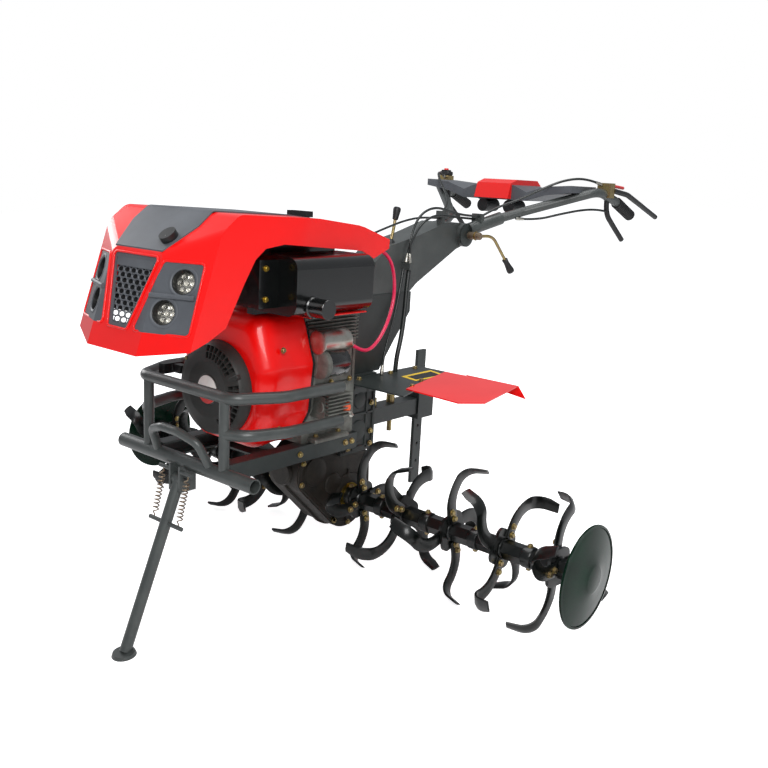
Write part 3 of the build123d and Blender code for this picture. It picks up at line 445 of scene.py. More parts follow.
white_disc = surface(
    "plain white vinyl", "E6E4E0", "DAD7D2", mottle_mm=30, grain_mm=0.6, depth_mm=0.01, rough=0.4,
    spread=0.05,
)
yellow_vinyl = surface(
    "plain yellow vinyl", "E8C21C", "D9B21A", mottle_mm=30, grain_mm=0.6, depth_mm=0.01,
    rough=0.4, spread=0.05,
)
reflector = surface(
    "vacuum-plated reflector", "C9C6BD", "E6E3DA", mottle_mm=6, grain_mm=2.0, depth_mm=0.25,
    rough=0.16, spread=0.12, metallic=0.9,
)
lens = bpy.data.materials.new("clear polycarbonate lens")
lens.use_nodes = True
lens_shader = lens.node_tree.nodes["Principled BSDF"]
lens_shader.inputs["Base Color"].default_value = linear("F4F4F2")
lens_shader.inputs["Transmission Weight"].default_value = 1.0
lens_shader.inputs["IOR"].default_value = 1.58
lens_ripple = add_node(
    lens, "ShaderNodeTexNoise", {"Scale": grain_of(5.0), "Detail": 1.0},
    {"Vector": add_node(lens, "ShaderNodeTexCoord").outputs["Object"]},
)
lens_wear = add_node(
    lens, "ShaderNodeMapRange", {"To Min": 0.03, "To Max": 0.12},
    {"Value": lens_ripple.outputs["Fac"]},
)
lens.node_tree.links.new(lens_wear.outputs["Result"], lens_shader.inputs["Roughness"])

# %% [markdown]
# The stage is a pale floor and a white surround. The surround is bright only to the camera
# and through glass; to the machine and in its reflections it is a soft grey, so the reds don't
# wash out. Two large soft lamps stand left and right of the camera and one hangs overhead.

# %% Stage and light
floor_mesh = bpy.data.meshes.new("floor")
reach, level_below = 9.0, -0.001
corner_signs = ((-1, -1), (1, -1), (1, 1), (-1, 1))
floor_corners = [(reach * x, reach * y, level_below) for x, y in corner_signs]
floor_mesh.from_pydata(floor_corners, [], [(0, 1, 2, 3)])
floor = bpy.data.objects.new("floor", floor_mesh)
bpy.context.scene.collection.objects.link(floor)
floor_paint = bpy.data.materials.new("studio floor")
floor_paint.use_nodes = True
floor_nodes = floor_paint.node_tree
floor_shader = floor_nodes.nodes["Principled BSDF"]
floor_shader.inputs["Base Color"].default_value = (0.9, 0.9, 0.9, 1)
floor_shader.inputs["Roughness"].default_value = 0.9
floor_shader.inputs["Specular IOR Level"].default_value = 0.1
white_glow = add_node(floor_paint, "ShaderNodeEmission", {"Color": (1, 1, 1, 1), "Strength": 0.8})
floor_sum = add_node(
    floor_paint, "ShaderNodeAddShader", {},
    {0: floor_shader.outputs["BSDF"], 1: white_glow.outputs["Emission"]},
)
sight = add_node(floor_paint, "ShaderNodeLightPath")
floor_mix = add_node(
    floor_paint, "ShaderNodeMixShader", {},
    {0: sight.outputs["Is Camera Ray"], 1: floor_shader.outputs["BSDF"],
        2: floor_sum.outputs["Shader"]},
)
floor_output = floor_nodes.nodes["Material Output"]
floor_nodes.links.new(floor_mix.outputs["Shader"], floor_output.inputs["Surface"])
floor_mesh.materials.append(floor_paint)

surround = bpy.data.worlds.new("white surround")
bpy.context.scene.world = surround
surround.use_nodes = True
sky = surround.node_tree
for node in list(sky.nodes):
    sky.nodes.remove(node)
seen = add_node(surround, "ShaderNodeLightPath")
seen_or_mirrored = add_node(
    surround, "ShaderNodeMath", {"operation": "MAXIMUM"},
    {0: seen.outputs["Is Camera Ray"], 1: seen.outputs["Is Transmission Ray"]},
)
soft_fill = add_node(surround, "ShaderNodeBackground",
    {"Color": (0.92, 0.95, 1.0, 1), "Strength": 0.40})
pure_white = add_node(surround, "ShaderNodeBackground", {"Color": (1, 1, 1, 1), "Strength": 1.0})
blend_sky = add_node(
    surround, "ShaderNodeMixShader", {},
    {0: seen_or_mirrored.outputs["Value"], 1: soft_fill.outputs["Background"],
        2: pure_white.outputs["Background"]},
)
add_node(surround, "ShaderNodeOutputWorld", {}, {"Surface": blend_sky.outputs["Shader"]})


def lamp(name, spot, aim, size, watts):
    """A square soft lamp at a spot, turned to face the aim."""
    data = bpy.data.lights.new(name, "AREA")
    data.size = size
    data.energy = watts
    light = bpy.data.objects.new(name, data)
    bpy.context.scene.collection.objects.link(light)
    light.location = spot
    light.rotation_euler = (Vector(aim) - Vector(spot)).to_track_quat("-Z", "Y").to_euler()


lamp("key lamp", (2.6, -2.4, 2.8), (0, -0.2, 0.5), 1.8, 105)
lamp("left lamp", (-3.6, -0.4, 2.0), (0, -0.3, 0.5), 1.6, 45)
lamp("overhead lamp", (0.2, 0.3, 3.4), (0, 0, 0.4), 2.4, 66)
bpy.context.scene.view_settings.view_transform = "Standard"
print("stage and three lamps")

# %% [markdown]
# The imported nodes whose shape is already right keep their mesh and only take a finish.

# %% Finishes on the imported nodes
nodes_of_finish = [
    (red_gloss, "hood fan_shroud fender_extensions"),
    (red_satin, "panel_cover throttle_lever"),
    (grey_abs, "hood_top_panel grille headlight_panels handle_panel"),
    (powder_grey,
     "bumper_cross_tube bumper_top_tube bumper_posts bumper_side_tubes bumper_arch "
     "stand_bracket stand_leg handlebar handle_stem"),
    (plate_grey, "engine_rails handle_pedestal fenders hitch_frame drag_bar"),
    (black_nylon,
     "hood_frame air_cleaner fuel_cap hood_latch recoil_handle panel_rests clutch_levers "
     "switch_box"),
    (enamel_black, "rotor_shaft tines_left tines_right"),
    (disc_green, "shield_discs"),
    (oiled_iron, "gearbox"),
    (cast_grey, "transmission_housing"),
    (brass_ring, "output_rings"),
    (blasted_aluminium, "engine_block injection_pump"),
    (drawn_steel, "starter_motor"),
    (stove_black, "muffler fuel_tank"),
    (charcoal_nylon, "recoil_starter"),
    (reflector, "headlamps"),
    (spring_steel, "stand_springs"),
    (yellow_zinc, "hitch_pins gear_lever lever_brackets lock_lever"),
    (black_rubber, "grips"),
]
finish_of = {name: finish for finish, names in nodes_of_finish for name in names.split()}
for node_name, node in frame["nodes"].items():
    node.data.materials.clear()
    node.data.materials.append(finish_of.get(node_name, cable_jacket))
print(len(finish_of), "nodes finished")

# %% [markdown]
# The cables are jacketed Bowden cables and one thick battery lead. Each is held at both ends,
# so its length is simply what shows. A cable's line is a NURBS curve through a few control
# points, which bends evenly the way a sheathed wire does; its tube is a circle swept along
# the points that Blender itself works out for that curve. Cables that cross the swivel or
# the tilt are set on no body, fixed where they lie in the scene.

# %% Cables
def cable(name, control, millimetres, finish, body=None, joint_bodies=None, ferrules=()):
    """A round tube along the NURBS curve of its control points, with ferrules at the ends named."""
    line = bpy.data.curves.new(name + "_line", "CURVE")
    line.dimensions = "3D"
    spline = line.splines.new("NURBS")
    spline.points.add(len(control) - 1)
    for point, spot in zip(spline.points, control):
        point.co = (*spot, 1)
    spline.order_u = 3
    spline.use_endpoint_u = True
    spline.resolution_u = 10
    guide = bpy.data.objects.new(name + "_line", line)
    bpy.context.scene.collection.objects.link(guide)
    bpy.context.view_layer.update()
    flat = bpy.data.meshes.new_from_object(guide)
    path = np.array([vertex.co for vertex in flat.vertices], float).reshape(-1, 3)
    bpy.data.objects.remove(guide)
    if np.linalg.norm(path[0] - control[0]) > np.linalg.norm(path[-1] - control[0]):
        path = path[::-1]
    keep = np.concatenate([[True], np.linalg.norm(np.diff(path, axis=0), axis=1) > 1e-4])
    path = path[keep]
    shells = [sweep(path, circle_section(millimetres / 2, 14))]
    tube = piece(name, shells, finish, body=None if joint_bodies else body, replaces=(name,))
    if joint_bodies:
        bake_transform(tube)
    for number, (at_end, ferrule_body) in enumerate(ferrules):
        near, inner = (path[0], path[2]) if at_end == 0 else (path[-1], path[-3])
        way = (inner - near) / np.linalg.norm(inner - near)
        grip = millimetres / 2
        steps = ((1.1, 0), (1.5, 1), (1.5, 14), (1.25, 16), (1.25, 24), (1.02, 26))
        collar = lathe(near + way * 0.5, way, [(grip * wider, at) for wider, at in steps], 16)
        piece(f"{name}_ferrule_{number}", [collar], drawn_steel, body=ferrule_body)


cable(
    "starter_cable",
    [
        (160, -150, 454), (160, -112, 432), (154, -62, 418), (140, -8, 434), (124, 46, 474),
        (116, 78, 532), (116, 76, 592), (128, 38, 646), (126, -14, 672), (102, -58, 684),
        (54.5, -94, 676),
    ],
    9, magenta_jacket, body="chassis", ferrules=[(0, "chassis")],
)
cable(
    "bundle_cable_low",
    [(64, 200.5, 601), (66, 192, 560), (72, 182, 490), (76, 168, 420), (78, 148, 360),
        (78, 147, 326)],
    13, cable_jacket, joint_bodies=("stem", "chassis", (64, 196, 590), (78, 150, 400)),
)
cable(
    "clutch_cable_low",
    [(52, 189.5, 601), (57, 176, 556), (64, 152, 490), (74, 118, 430), (80, 90, 376),
        (82, 84, 326)],
    7, cable_jacket, joint_bodies=("stem", "chassis", (52, 186, 590), (82, 90, 400)),
    ferrules=[(1, "chassis")],
)
cable(
    "drive_cable_loop",
    [
        (74, 504, 747), (72, 440, 748), (68, 372, 758), (66, 300, 772), (64, 236, 752),
        (65, 200, 700), (67, 194, 655), (67, 198, 619),
    ],
    7, cable_jacket, joint_bodies=("stem", "handlebar", (66, 390, 740), (74, 490, 740)),
    ferrules=[(1, "stem")],
)
cable(
    "clutch_cable_loop",
    [
        (58, 504, 738), (57, 440, 741), (56, 372, 746), (56, 310, 748), (54, 254, 724),
        (53, 218, 676), (53, 204, 645), (53, 198, 619),
    ],
    7, cable_jacket, joint_bodies=("stem", "handlebar", (56, 390, 740), (58, 490, 740)),
    ferrules=[(1, "stem")],
)
cable(
    "throttle_cable",
    [(40, -82, 676), (42, -30, 678), (44, 40, 692), (44, 120, 714), (42, 200, 733), (38, 284, 742),
        (34, 365, 738)],
    6, cable_jacket, joint_bodies=("chassis", "stem", (42, 0, 700), (40, 290, 740)),
)
upper_run = [
    (71, 520, 746), (92, 574, 776), (134, 624, 800), (188, 662, 836), (238, 708, 866),
    (276, 772, 872), (294, 827, 856),
]
cable("bar_cable_upper", upper_run, 7, cable_jacket, body="handlebar", ferrules=[(1, "handlebar")])
cable(
    "bar_cable_right", [(-x, y, z) for x, y, z in upper_run], 7, cable_jacket, body="handlebar",
    ferrules=[(1, "handlebar")],
)
cable(
    "bar_cable_lower",
    [(128, 620, 744), (168, 668, 742), (222, 722, 764), (268, 776, 780), (294, 822, 782),
        (300, 854, 778)],
    7, cable_jacket, body="handlebar", ferrules=[(0, "handlebar")],
)

# %% [markdown]
# The rotor is two rows of curved tines. A tine is flat spring steel, forged with one long
# curve in its own plane and then bent sideways near the tip, with its leading edge ground
# to a bevel. It is an eight-point section carried along a line that is worked out in closed
# form: a straight root, an arc in the plane of the strip, an arc out of it, and a straight leg.

# %% Tines
flange_places = [104, 253, 402, 551, 700]
flange_turns = [80, 125, -15, 30, 95]
root, straight, curve_radius, curve_angle = 26, 31, 80, 60
bend_radius, bend_angle, bend_slant, leg_length = 38, 75, 10, 30
strip_width, strip_thickness = 34, 6


def tine_line():
    """Centres and width directions from root to tip, with the root pointing forwards (-Y)."""
    outward, trailing, sideways = np.array([[0, -1.0, 0], [0, 0, 1.0], [1.0, 0, 0]])
    share = np.linspace(0, 1, 9)[:, None]
    centres = [outward * (root + straight * share)]
    widths = [np.repeat(trailing[None], 9, 0)]
    runs = [np.repeat(outward[None], 9, 0)]
    turn = np.radians(curve_angle) * share[1:]
    shift = (outward * np.sin(turn) + trailing * (1 - np.cos(turn))) * curve_radius
    centres.append(centres[0][-1] + shift)
    runs.append(outward * np.cos(turn) + trailing * np.sin(turn))
    widths.append(trailing * np.cos(turn) - outward * np.sin(turn))
    run, across, place = runs[-1][-1], widths[-1][-1], centres[-1][-1]
    slant = math.radians(bend_slant)
    hinge = across * math.cos(slant) + run * math.sin(slant)
    forward = run * math.cos(slant) - across * math.sin(slant)
    share = np.linspace(0, 1, 13)[1:, None]
    turn = np.radians(bend_angle) * share
    bent = forward * np.cos(turn) + sideways * np.sin(turn)
    along = forward * np.sin(turn) + sideways * (1 - np.cos(turn))
    centres.append(place + along * bend_radius + hinge * (turn * bend_radius * math.tan(slant)))
    runs.append(bent * math.cos(slant) + hinge * math.sin(slant))
    widths.append(hinge * math.cos(slant) - bent * math.sin(slant))
    share = np.linspace(0, 1, 5)[1:, None]
    centres.append(centres[-1][-1] + runs[-1][-1] * leg_length * share)
    runs.append(np.repeat(runs[-1][-1:], 4, 0))
    widths.append(np.repeat(widths[-1][-1:], 4, 0))
    return np.concatenate(centres), np.concatenate(runs), np.concatenate(widths)


centres, runs, widths = tine_line()
thick_ways = np.cross(widths, runs)
progress = np.linspace(0, 1, len(centres))[:, None, None]
half, thin = strip_width / 2, strip_thickness / 2
trailing_edge = [(half - 1.5, -thin), (half, -thin + 1), (half, thin - 1), (half - 1.5, thin)]
blunt_edge = [(-half + 1.5, thin), (-half, thin - 1), (-half, -thin + 1)]
ground_edge = [(-half + 4, thin), (-half, thin - 0.8), (-half, thin - 1.6)]
blunt = np.array([(-half + 1.5, -thin)] + trailing_edge + blunt_edge)
ground = np.array([(-half + 11, -thin)] + trailing_edge + ground_edge)
ease = np.clip((progress - 0.3) / 0.15, 0, 1)
sections = blunt + (ground - blunt) * ease
along_width, along_thickness = sections[..., 0, None], sections[..., 1, None]
tine_rows = centres[:, None] + along_width * widths[:, None] + along_thickness * thick_ways[:, None]
tip = np.clip((progress - 0.9) / 0.1, 0, 1)
tip_taper = 7
tine_rows = tine_rows + tip * tip_taper * widths[:, None] * (along_width < 0)


def about_axle(points, degrees):
    """Points turned about the axle, so that forwards (-Y) goes up for a positive angle."""
    turn = math.radians(-degrees)
    cos, sin = math.cos(turn), math.sin(turn)
    return points @ np.array([[1, 0, 0], [0, cos, sin], [0, -sin, cos]])


def rotor_side(side):
    """All tines of one rotor half and the bolts that hold them to their flanges."""
    blades, spots, ways = [], [], []
    for index, (x, phase) in enumerate(zip(flange_places, flange_turns)):
        for quarter in range(4):
            outwards = 1 if index == 0 or quarter % 2 == 1 else -1
            turned = phase + 90 * quarter
            rows = about_axle(tine_rows * [outwards, 1, 1], turned) + [x + outwards * 7, 0, 0]
            blades.append(shell(rows * [side, 1, 1]))
            heads = about_axle(np.array([[0, -36, 3], [0, -56, -3]], float), turned)
            spots += ((heads + [x + outwards * 10, 0, 0]) * [side, 1, 1]).tolist()
            ways += [(side * outwards, 0, 0)] * 2
    return blades, bolts(spots, ways, 11)


for side, node_name in ((1, "tines_left"), (-1, "tines_right")):
    blades, heads = rotor_side(side)
    piece(node_name, blades, enamel_black, "rotor", (node_name,), smooth=35)
    piece(node_name + "_bolts", heads, yellow_zinc, "rotor", smooth=30)

# %% [markdown]
# The tine tubes slide over each other and are pinned with a long bolt through the hexagon.
# Weld beads join the flanges to the tube, and a boss carries the dished disc at each end.

# %% Rotor fittings
weld = [(25.5, -0.5), (26, 1.0), (23.5, 4.5), (20.5, 5.5)]
collar = [(25, 0), (26.5, 1.5), (26.5, 22), (25, 24)]
pinned_places = (66, 178, 328, 476, 626)
fittings, pins = [], []
for side in (1, -1):
    for x in flange_places:
        for face in (-4, 4):
            way = (side * np.sign(face), 0, 0)
            fittings.append(lathe((side * (x + face), 0, 0), way, weld, 24))
    for x in pinned_places:
        fittings.append(lathe((side * (x - 12), 0, 0), (side, 0, 0), collar, 24))
        pins += bolts([(side * x, 0, 25.5), (side * x, 0, -25.5)], [(0, 0, 1), (0, 0, -1)], 10)
    fittings.append(lathe((side * 774, 0, 0), (side, 0, 0), [(32, 0), (32, 13), (30, 15)], 40))
piece("tube_collars", fittings, enamel_black, "rotor", smooth=40)
piece("tube_pins", pins, yellow_zinc, "rotor", smooth=30)

outer_face = [(0.5, 792.6), (30, 792.6), (33, 791.5), (44, 788.6), (70, 784.2), (96, 779.6), (114, 775.6),
    (119.4, 774), (120, 774.6), (119.4, 776.4), (114, 777.4)]
inner_face = [(0.5, 789.6), (30, 789.6), (44, 785.6), (70, 781.2), (96, 776.6), (114, 772.6),
    (119.4, 771)]
disc_profile = inner_face + [(120, 773)] + outer_face[::-1]
for side in (1, -1):
    disc = lathe((0, 0, 0), (side, 0, 0), disc_profile, 96)
    piece("shield_disc_" + ("left" if side > 0 else "right"), [disc], disc_green, "rotor",
        ("shield_discs",), smooth=25)

# %% [markdown]
# The recoil starter's cover is moulded nylon, a shallow dish with a collar of cooling slots
# on the side the air comes from. It is one polar grid: rings of points whose height follows
# a turned profile, dropped to a floor wherever a ring falls in a slot's window and the angle
# in one of its bars. A slot is then real depth, and looks black for the same reason as the
# real one: little light gets down there.

# %% Recoil starter
crank_y, crank_z = -405.0, 346.0
slot_floor = 9.0
cover_profile = [
    (0, 36), (30, 36), (33, 37.5), (35, 37.5), (37, 36), (62, 38.3), (66, 38.8), (70, 38.3),
    (90, 35), (104, 31), (107, 24), (110, 15), (111.6, 9), (112, 6),
]


def recoil_cover():
    """Rings of points about the crank, each raised by its radius's height or sunk in a slot."""
    outer_rings = [112, 111.6, 110, 107, 104.2]
    inner_rings = [68, 66, 62, 56, 48, 40, 37, 35, 33, 30, 20, 8, 1]
    radii = np.concatenate([outer_rings, np.arange(103, 70, -1.5), inner_rings])
    angle = np.radians(np.arange(0, 360, 1.0))
    r, a = np.meshgrid(radii, angle, indexing="ij")
    height = np.interp(r, *zip(*cover_profile))
    turn = np.degrees(a)
    bar = np.abs((turn / 8.0) % 1 - 0.5) < 0.3
    sector = ((turn < 96) & ~((turn > 17) & (turn < 33))) | (turn > 294)
    columns = ((r > 74) & (r < 87)) | ((r > 90) & (r < 102.5))
    height = np.where(bar & sector & columns, slot_floor, height)
    rows = np.stack([r * np.cos(a), crank_y - height, crank_z + r * np.sin(a)], axis=-1)
    back = rows[:1].copy()
    back[..., 1] = crank_y
    return shell(np.concatenate([back, rows]))


rib_turn = math.radians(25)
rib_way = np.array([math.cos(rib_turn), 0, math.sin(rib_turn)])
rib_side = np.array([-math.sin(rib_turn), 0, math.cos(rib_turn)])
rib = block(rib_way * 76 + [0, crank_y - 30.5, crank_z], (72, 13, 11), 4, 2, rib_way, rib_side)
piece("recoil_cover", [recoil_cover(), rib], charcoal_nylon, replaces=("recoil_starter",),
    smooth=35)
cover_spots = [(66, crank_y - 29, crank_z - 80), (-84, crank_y - 29, crank_z + 60)]
cover_bolts = bolts(cover_spots, [(0, -1, 0)], 9, washer=False)
piece("recoil_cover_bolts", cover_bolts, yellow_zinc)
disc_edge = [(31, -4), (33, -1), (33, 0.2), (32.6, 0.5), (1, 0.5)]
plain_disc = lathe((0, crank_y - 38.2, crank_z), (0, -1, 0), disc_edge, 64)
piece("recoil_plain_disc", [plain_disc], white_disc)
arc = np.radians(np.linspace(212, 328, 25))
segment = np.stack([33 * np.cos(arc), np.zeros(25), 33 * np.sin(arc)], axis=1)
segment = segment + [0, crank_y - 38.75, crank_z]
piece("recoil_red_segment", [shell(np.stack([segment, segment + [0, -0.15, 0]]))], red_satin)

# %% [markdown]
# The fan shroud is deep-drawn steel sprayed with the same gloss red as the hood. Its outline
# is a polygon with generous corners; the loft draws the outline in along a quarter circle
# towards the front, and a shallow waist halfway gives the broad highlight its bend. Behind
# it sit the black gasket plate and the bright edge of the crankcase.

# %% Fan shroud
def rounded_polygon(corners, radius, per_corner=8):
    """A closed outline with each corner replaced by an arc that touches both of its sides."""
    corners = np.asarray(corners, float)
    points = []
    for index, corner in enumerate(corners):
        before = corners[index - 1] - corner
        after = corners[(index + 1) % len(corners)] - corner
        before, after = before / np.linalg.norm(before), after / np.linalg.norm(after)
        half = math.acos(np.clip(before @ after, -1, 1)) / 2
        middle = before + after
        centre = corner + middle / np.linalg.norm(middle) * radius / math.sin(half)
        first = corner + before * radius / math.tan(half) - centre
        last = corner + after * radius / math.tan(half) - centre
        for share in np.linspace(0, 1, per_corner):
            way = first * (1 - share) + last * share
            points.append(centre + way / np.linalg.norm(way) * radius)
    return np.array(points)


right_side = [(95, 210), (140, 290), (152, 410), (112, 528)]
shroud_line = rounded_polygon(right_side + [(-x, z) for x, z in right_side[::-1]], 34)
shroud_middle = shroud_line.mean(0)


def shroud_row(inset, y):
    """The outline drawn in by an inset all round, at a depth."""
    drawn = shroud_middle + (shroud_line - shroud_middle) * (1 - inset / 150)
    return np.column_stack([drawn[:, 0], np.full(len(drawn), y), drawn[:, 1]])


rows = [shroud_row(2.5, -252.2), shroud_row(0.8, -253), shroud_row(0.3, -256)]
for share in np.linspace(0.06, 1, 16):
    waist = 3.2 * math.sin(math.pi * share) ** 2
    rows.append(shroud_row(0.3 + waist, -256 - 104 * share))
for turn in np.linspace(0.1, math.pi / 2, 14):
    rows.append(shroud_row(36 * (1 - math.cos(turn)) + 0.3, -360 - 44 * math.sin(turn)))
rows.append(shroud_row(38, -404.2))
piece("shroud_shell", [shell(rows)], red_gloss, replaces=("fan_shroud",), smooth=50)
gasket_rows = ((1.5, -252.1), (0, -251), (0, -245), (1.5, -244))
piece("shroud_gasket", [shell([shroud_row(*row) for row in gasket_rows])], black_nylon)
flange_rows = ((5, -244), (4, -243), (4, -234), (5, -233))
piece("crankcase_flange", [shell([shroud_row(*row) for row in flange_rows])], blasted_aluminium)
shroud_spots = [(146, -346, 450), (-146, -346, 450), (118, -330, 262), (-118, -330, 262)]
shroud_ways = [(1, 0, 0.2), (-1, 0, 0.2), (1, 0, -0.3), (-1, 0, -0.3)]
piece("shroud_bolts", bolts(shroud_spots, shroud_ways, 9), yellow_zinc)

# %% [markdown]
# The engine's side shows die-cast aluminium as it leaves the mould: a finned case, covers
# with raised borders, cap screws round them. Each fin is its own thin block, since fins read
# by the dark gaps between them.

# %% Engine details
castings = [block((150, -180, 274 + 9 * step), (58, 84, 4), 3, 1) for step in range(7)]
castings.append(block((146, -180, 300), (48, 76, 54), 6, 2))
castings.append(block((124, -165, 392), (9, 150, 96), 10, 2))
for x, lowest_fin in ((126, 452), (-126, 300)):
    for step in range(9):
        castings.append(block((x, -161, lowest_fin + 8.5 * step), (14, 172, 3), 2, 0.8))
castings.append(block((-124, -165, 420), (9, 150, 110), 10, 2))
castings.append(block((0, -161, 526), (190, 150, 10), 8, 2))
castings.append(lathe((150, -205, 300), (0, -1, 0), [(16, -18), (16, 20), (14, 22), (1, 22)], 32))
castings.append(block((120, -170, 212), (56, 120, 12), 5, 2))
piece("engine_castings", castings, blasted_aluminium)
case_rows = (-232, -165, -98)
case_spots = [(128.6, y, z) for y in case_rows for z in (350, 434)]
case_spots += [(-128.6, y, z) for y in case_rows for z in (371, 469)]
case_spots += [(side * 128, y, 218.5) for side in (1, -1) for y in (-210, -130)]
case_ways = [(1, 0, 0)] * 6 + [(-1, 0, 0)] * 6 + [(0, 0, 1)] * 4
piece("engine_bolts", bolts(case_spots, case_ways, 9), yellow_zinc)
plug = [(10, -14), (13, 0), (13, 9), (10, 12), (1, 12)]
piece("oil_filler_plug", [lathe((165, -150, 292), (0.5, 0.8, 0), plug, 24)], orange_plug)
spout = [(7, 0), (7, 26), (5, 28)]
piece("breather_tube", [lathe((166, -146, 290), (0.25, 0.45, -0.85), spout, 20)], drawn_steel)

# %% [markdown]
# The electric starter is a rolled steel tube, with its solenoid as a second, brighter tube on
# top and an aluminium nose that both bolt to. Tubes with rolled rims are turned profiles, and
# the rims are there because a sharp end would catch no light. Brass studs take the cable.

# %% Electric starter
can = [(24, 0), (28, 2), (28, 8), (27.3, 9.5), (27.3, 60), (28, 62), (28, 92), (26, 96), (14, 97),
    (14, 100.6), (1, 100.6)]
piece("starter_solenoid", [lathe((160, -251, 460), (0, 1, 0), can, 48)], drawn_steel,
    replaces=("starter_motor",))
yoke = [(30, 0), (34, 2), (35, 8), (35, 62), (33, 66), (33, 80), (28, 85), (1, 85)]
piece("starter_yoke", [lathe((160, -246, 408), (0, 1, 0), yoke, 48)], stove_black)
nose_ring = lathe((160, -246.4, 408), (0, 1, 0), [(31, 0), (36, 3), (36, 14), (33, 17)], 48)
nose = [block((140, -238, 432), (40, 18, 110), 14, 2), nose_ring]
piece("starter_nose", nose, blasted_aluminium)
studs = bolts([(160, -150.4, 470), (150, -150.4, 452), (172, -161, 424)], [(0, 1, 0)], 9)
piece("starter_terminals", studs, brass_ring)

# %% [markdown]
# The muffler is two pressed shells whose lips are rolled together, so a thin band runs round
# it. Its outlet has a collar at each end, two brass bolts hold the elbow, and a red guard lies
# under it to keep the heat off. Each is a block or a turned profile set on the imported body.

# %% Muffler details
outlet_lip = [(24, -0.5), (24.5, 2), (22, 4), (21.4, 5)]
outlet_end = [(21, -1.5), (22.4, -0.5), (22.4, 3), (21.6, 3.9)]
seams = [block((156, -265, 602), (251.6, 5, 129.6), 27, 1, (0, 1, 0))]
seams.append(lathe((228, -338, 558), (1, 0, 0), outlet_lip, 32))
seams.append(lathe((272, -338, 558), (1, 0, 0), outlet_end, 32))
seams.append(block((106, -190, 531), (36, 104, 10), 3, 1))
piece("muffler_seams", seams, stove_black)
elbow_spots = [(171.2, -428, 574), (171.2, -428, 640)]
piece("muffler_bolts", bolts(elbow_spots, [(1, 0, 0)], 9), brass_ring)
piece("heat_guard", [block((196, -245, 533.4), (50, 190, 3), 2, 0.8)], red_satin)

# %% [markdown]
# A headlamp is a black can let into the panel, a bright plate with seven small lens domes,
# and a bevelled ring. The panel leans back and sweeps round, so the lamp's axis is square
# to that slanting surface and not to the machine.

# %% Headlamps and the back of the grille
chin_y, chin_z, lean = -696, 466, 0.335
flat_half, side_sweep, lamp_sweep = 86, 44 / 108, 0.407
face_normal = np.array([0, -0.948, 0.318])


def face_point(x, z, out=0.0):
    """A point on the hood's slanting face, some millimetres out from it. Beside the middle part
    the face sweeps back."""
    sweep_back = max(abs(x) - flat_half, 0) * side_sweep
    return np.array([x, chin_y + lean * (z - chin_z) + sweep_back - out, z])


rings, cans, plates, domes = [], [], [], []
can_wall = [(26.6, -26), (27.2, -24), (27.2, -0.6), (24.6, -0.6), (24.4, -22)]
bezel = [(25.5, -1), (27, 0.6), (30.5, 1.4), (32.5, 0.6), (33, -1), (29, -2)]
bright_plate = [(24.2, -4), (24.2, 0), (22.5, 0.8), (1, 0.8)]
dome = [(6, 0), (5.6, 2), (4.2, 3.8), (2.2, 4.8), (0.4, 5.1)]
for side in (1, -1):
    axis = np.array([lamp_sweep * side, -1, lean])
    axis /= np.linalg.norm(axis)
    across, upward, axis = square_frame(axis)
    for x, z in ((142, 618), (118, 556)):
        face = face_point(side * x, z)
        cans.append(lathe(face, axis, can_wall, 48, ring=True))
        rings.append(lathe(face, axis, bezel, 64, ring=True))
        plates.append(lathe(face - axis * 16, axis, bright_plate, 48))
        for step in range(7):
            turn = step * math.pi / 3
            offset = (across * math.cos(turn) + upward * math.sin(turn)) * (14 if step < 6 else 0)
            domes.append(lathe(face - axis * 15.4 + offset, axis, dome, 20))
piece("lamp_cans", cans, black_nylon, replaces=("headlamps",))
piece("lamp_rings", rings, grey_abs)
piece("lamp_plates", plates, reflector)
piece("lamp_domes", domes, lens)


def leaning_plate(outline, front, thickness):
    """A flat plate of (x, z) corners that leans with the hood's face, some way behind its front."""
    rows = []
    for depth in (front, front + thickness):
        rows.append([(x, chin_y + lean * (z - chin_z) + depth, z) for x, z in outline])
    return shell(rows)


def closed_bead(outline, radius, out=0.0):
    """A round bead along a closed outline of (x, z) points on the hood's face."""
    path = np.array([face_point(x, z, out) for x, z in outline])
    run = np.roll(path, -1, axis=0) - np.roll(path, 1, axis=0)
    run /= np.linalg.norm(run, axis=1)[:, None]
    across = np.cross(face_normal, run)
    across /= np.linalg.norm(across, axis=1)[:, None]
    upward = np.cross(run, across)
    section = circle_section(radius, 12)
    rows = path[:, None] + section[:, 0, None] * across[:, None]
    return shell(rows + section[:, 1, None] * upward[:, None], ring=True)


grille_corners = [(-78, 662), (78, 662), (34, 512), (-34, 512)]
lamp_corners = [(92, 656), (178, 656), (184, 514), (52, 514)]
lips = [closed_bead(rounded_polygon(grille_corners, 9, 6), 2.6, 0.5)]
bars = []
for side in (1, -1):
    corners = [(side * x, z) for x, z in lamp_corners]
    lips.append(closed_bead(rounded_polygon(corners[::side], 9, 6), 2.6, 0.5))
    path = [face_point(side * x, 588, 2.5) for x in np.linspace(82, 176, 12)]
    bars.append(sweep(path, circle_section(5.2, 16)))
piece("window_lips", lips, red_gloss)
piece("lamp_bars", bars, grey_abs)

loops = []
for inset, out in ((0.3, -1), (0.3, -5), (9, -5), (9, -1)):
    corners = [
        (x - math.copysign(inset, x), z + (inset if z < 600 else -inset)) for x, z in grille_corners
    ]
    drawn = rounded_polygon(corners, 7, 6)
    loops.append([face_point(x, z, out) for x, z in drawn])
mesh_parts = [shell(loops, ring=True)]
mesh_parts.append(leaning_plate([(-66, 655), (66, 655), (60, 634), (-60, 634)], 1.5, 2.5))


def oval(half_width, half_height):
    """An ellipse of twenty points that leans with the hood's face."""
    turned = circle_section(1, 20)
    rise = half_height * turned[:, 1]
    return np.stack([half_width * turned[:, 0], lean * rise, rise], axis=1)


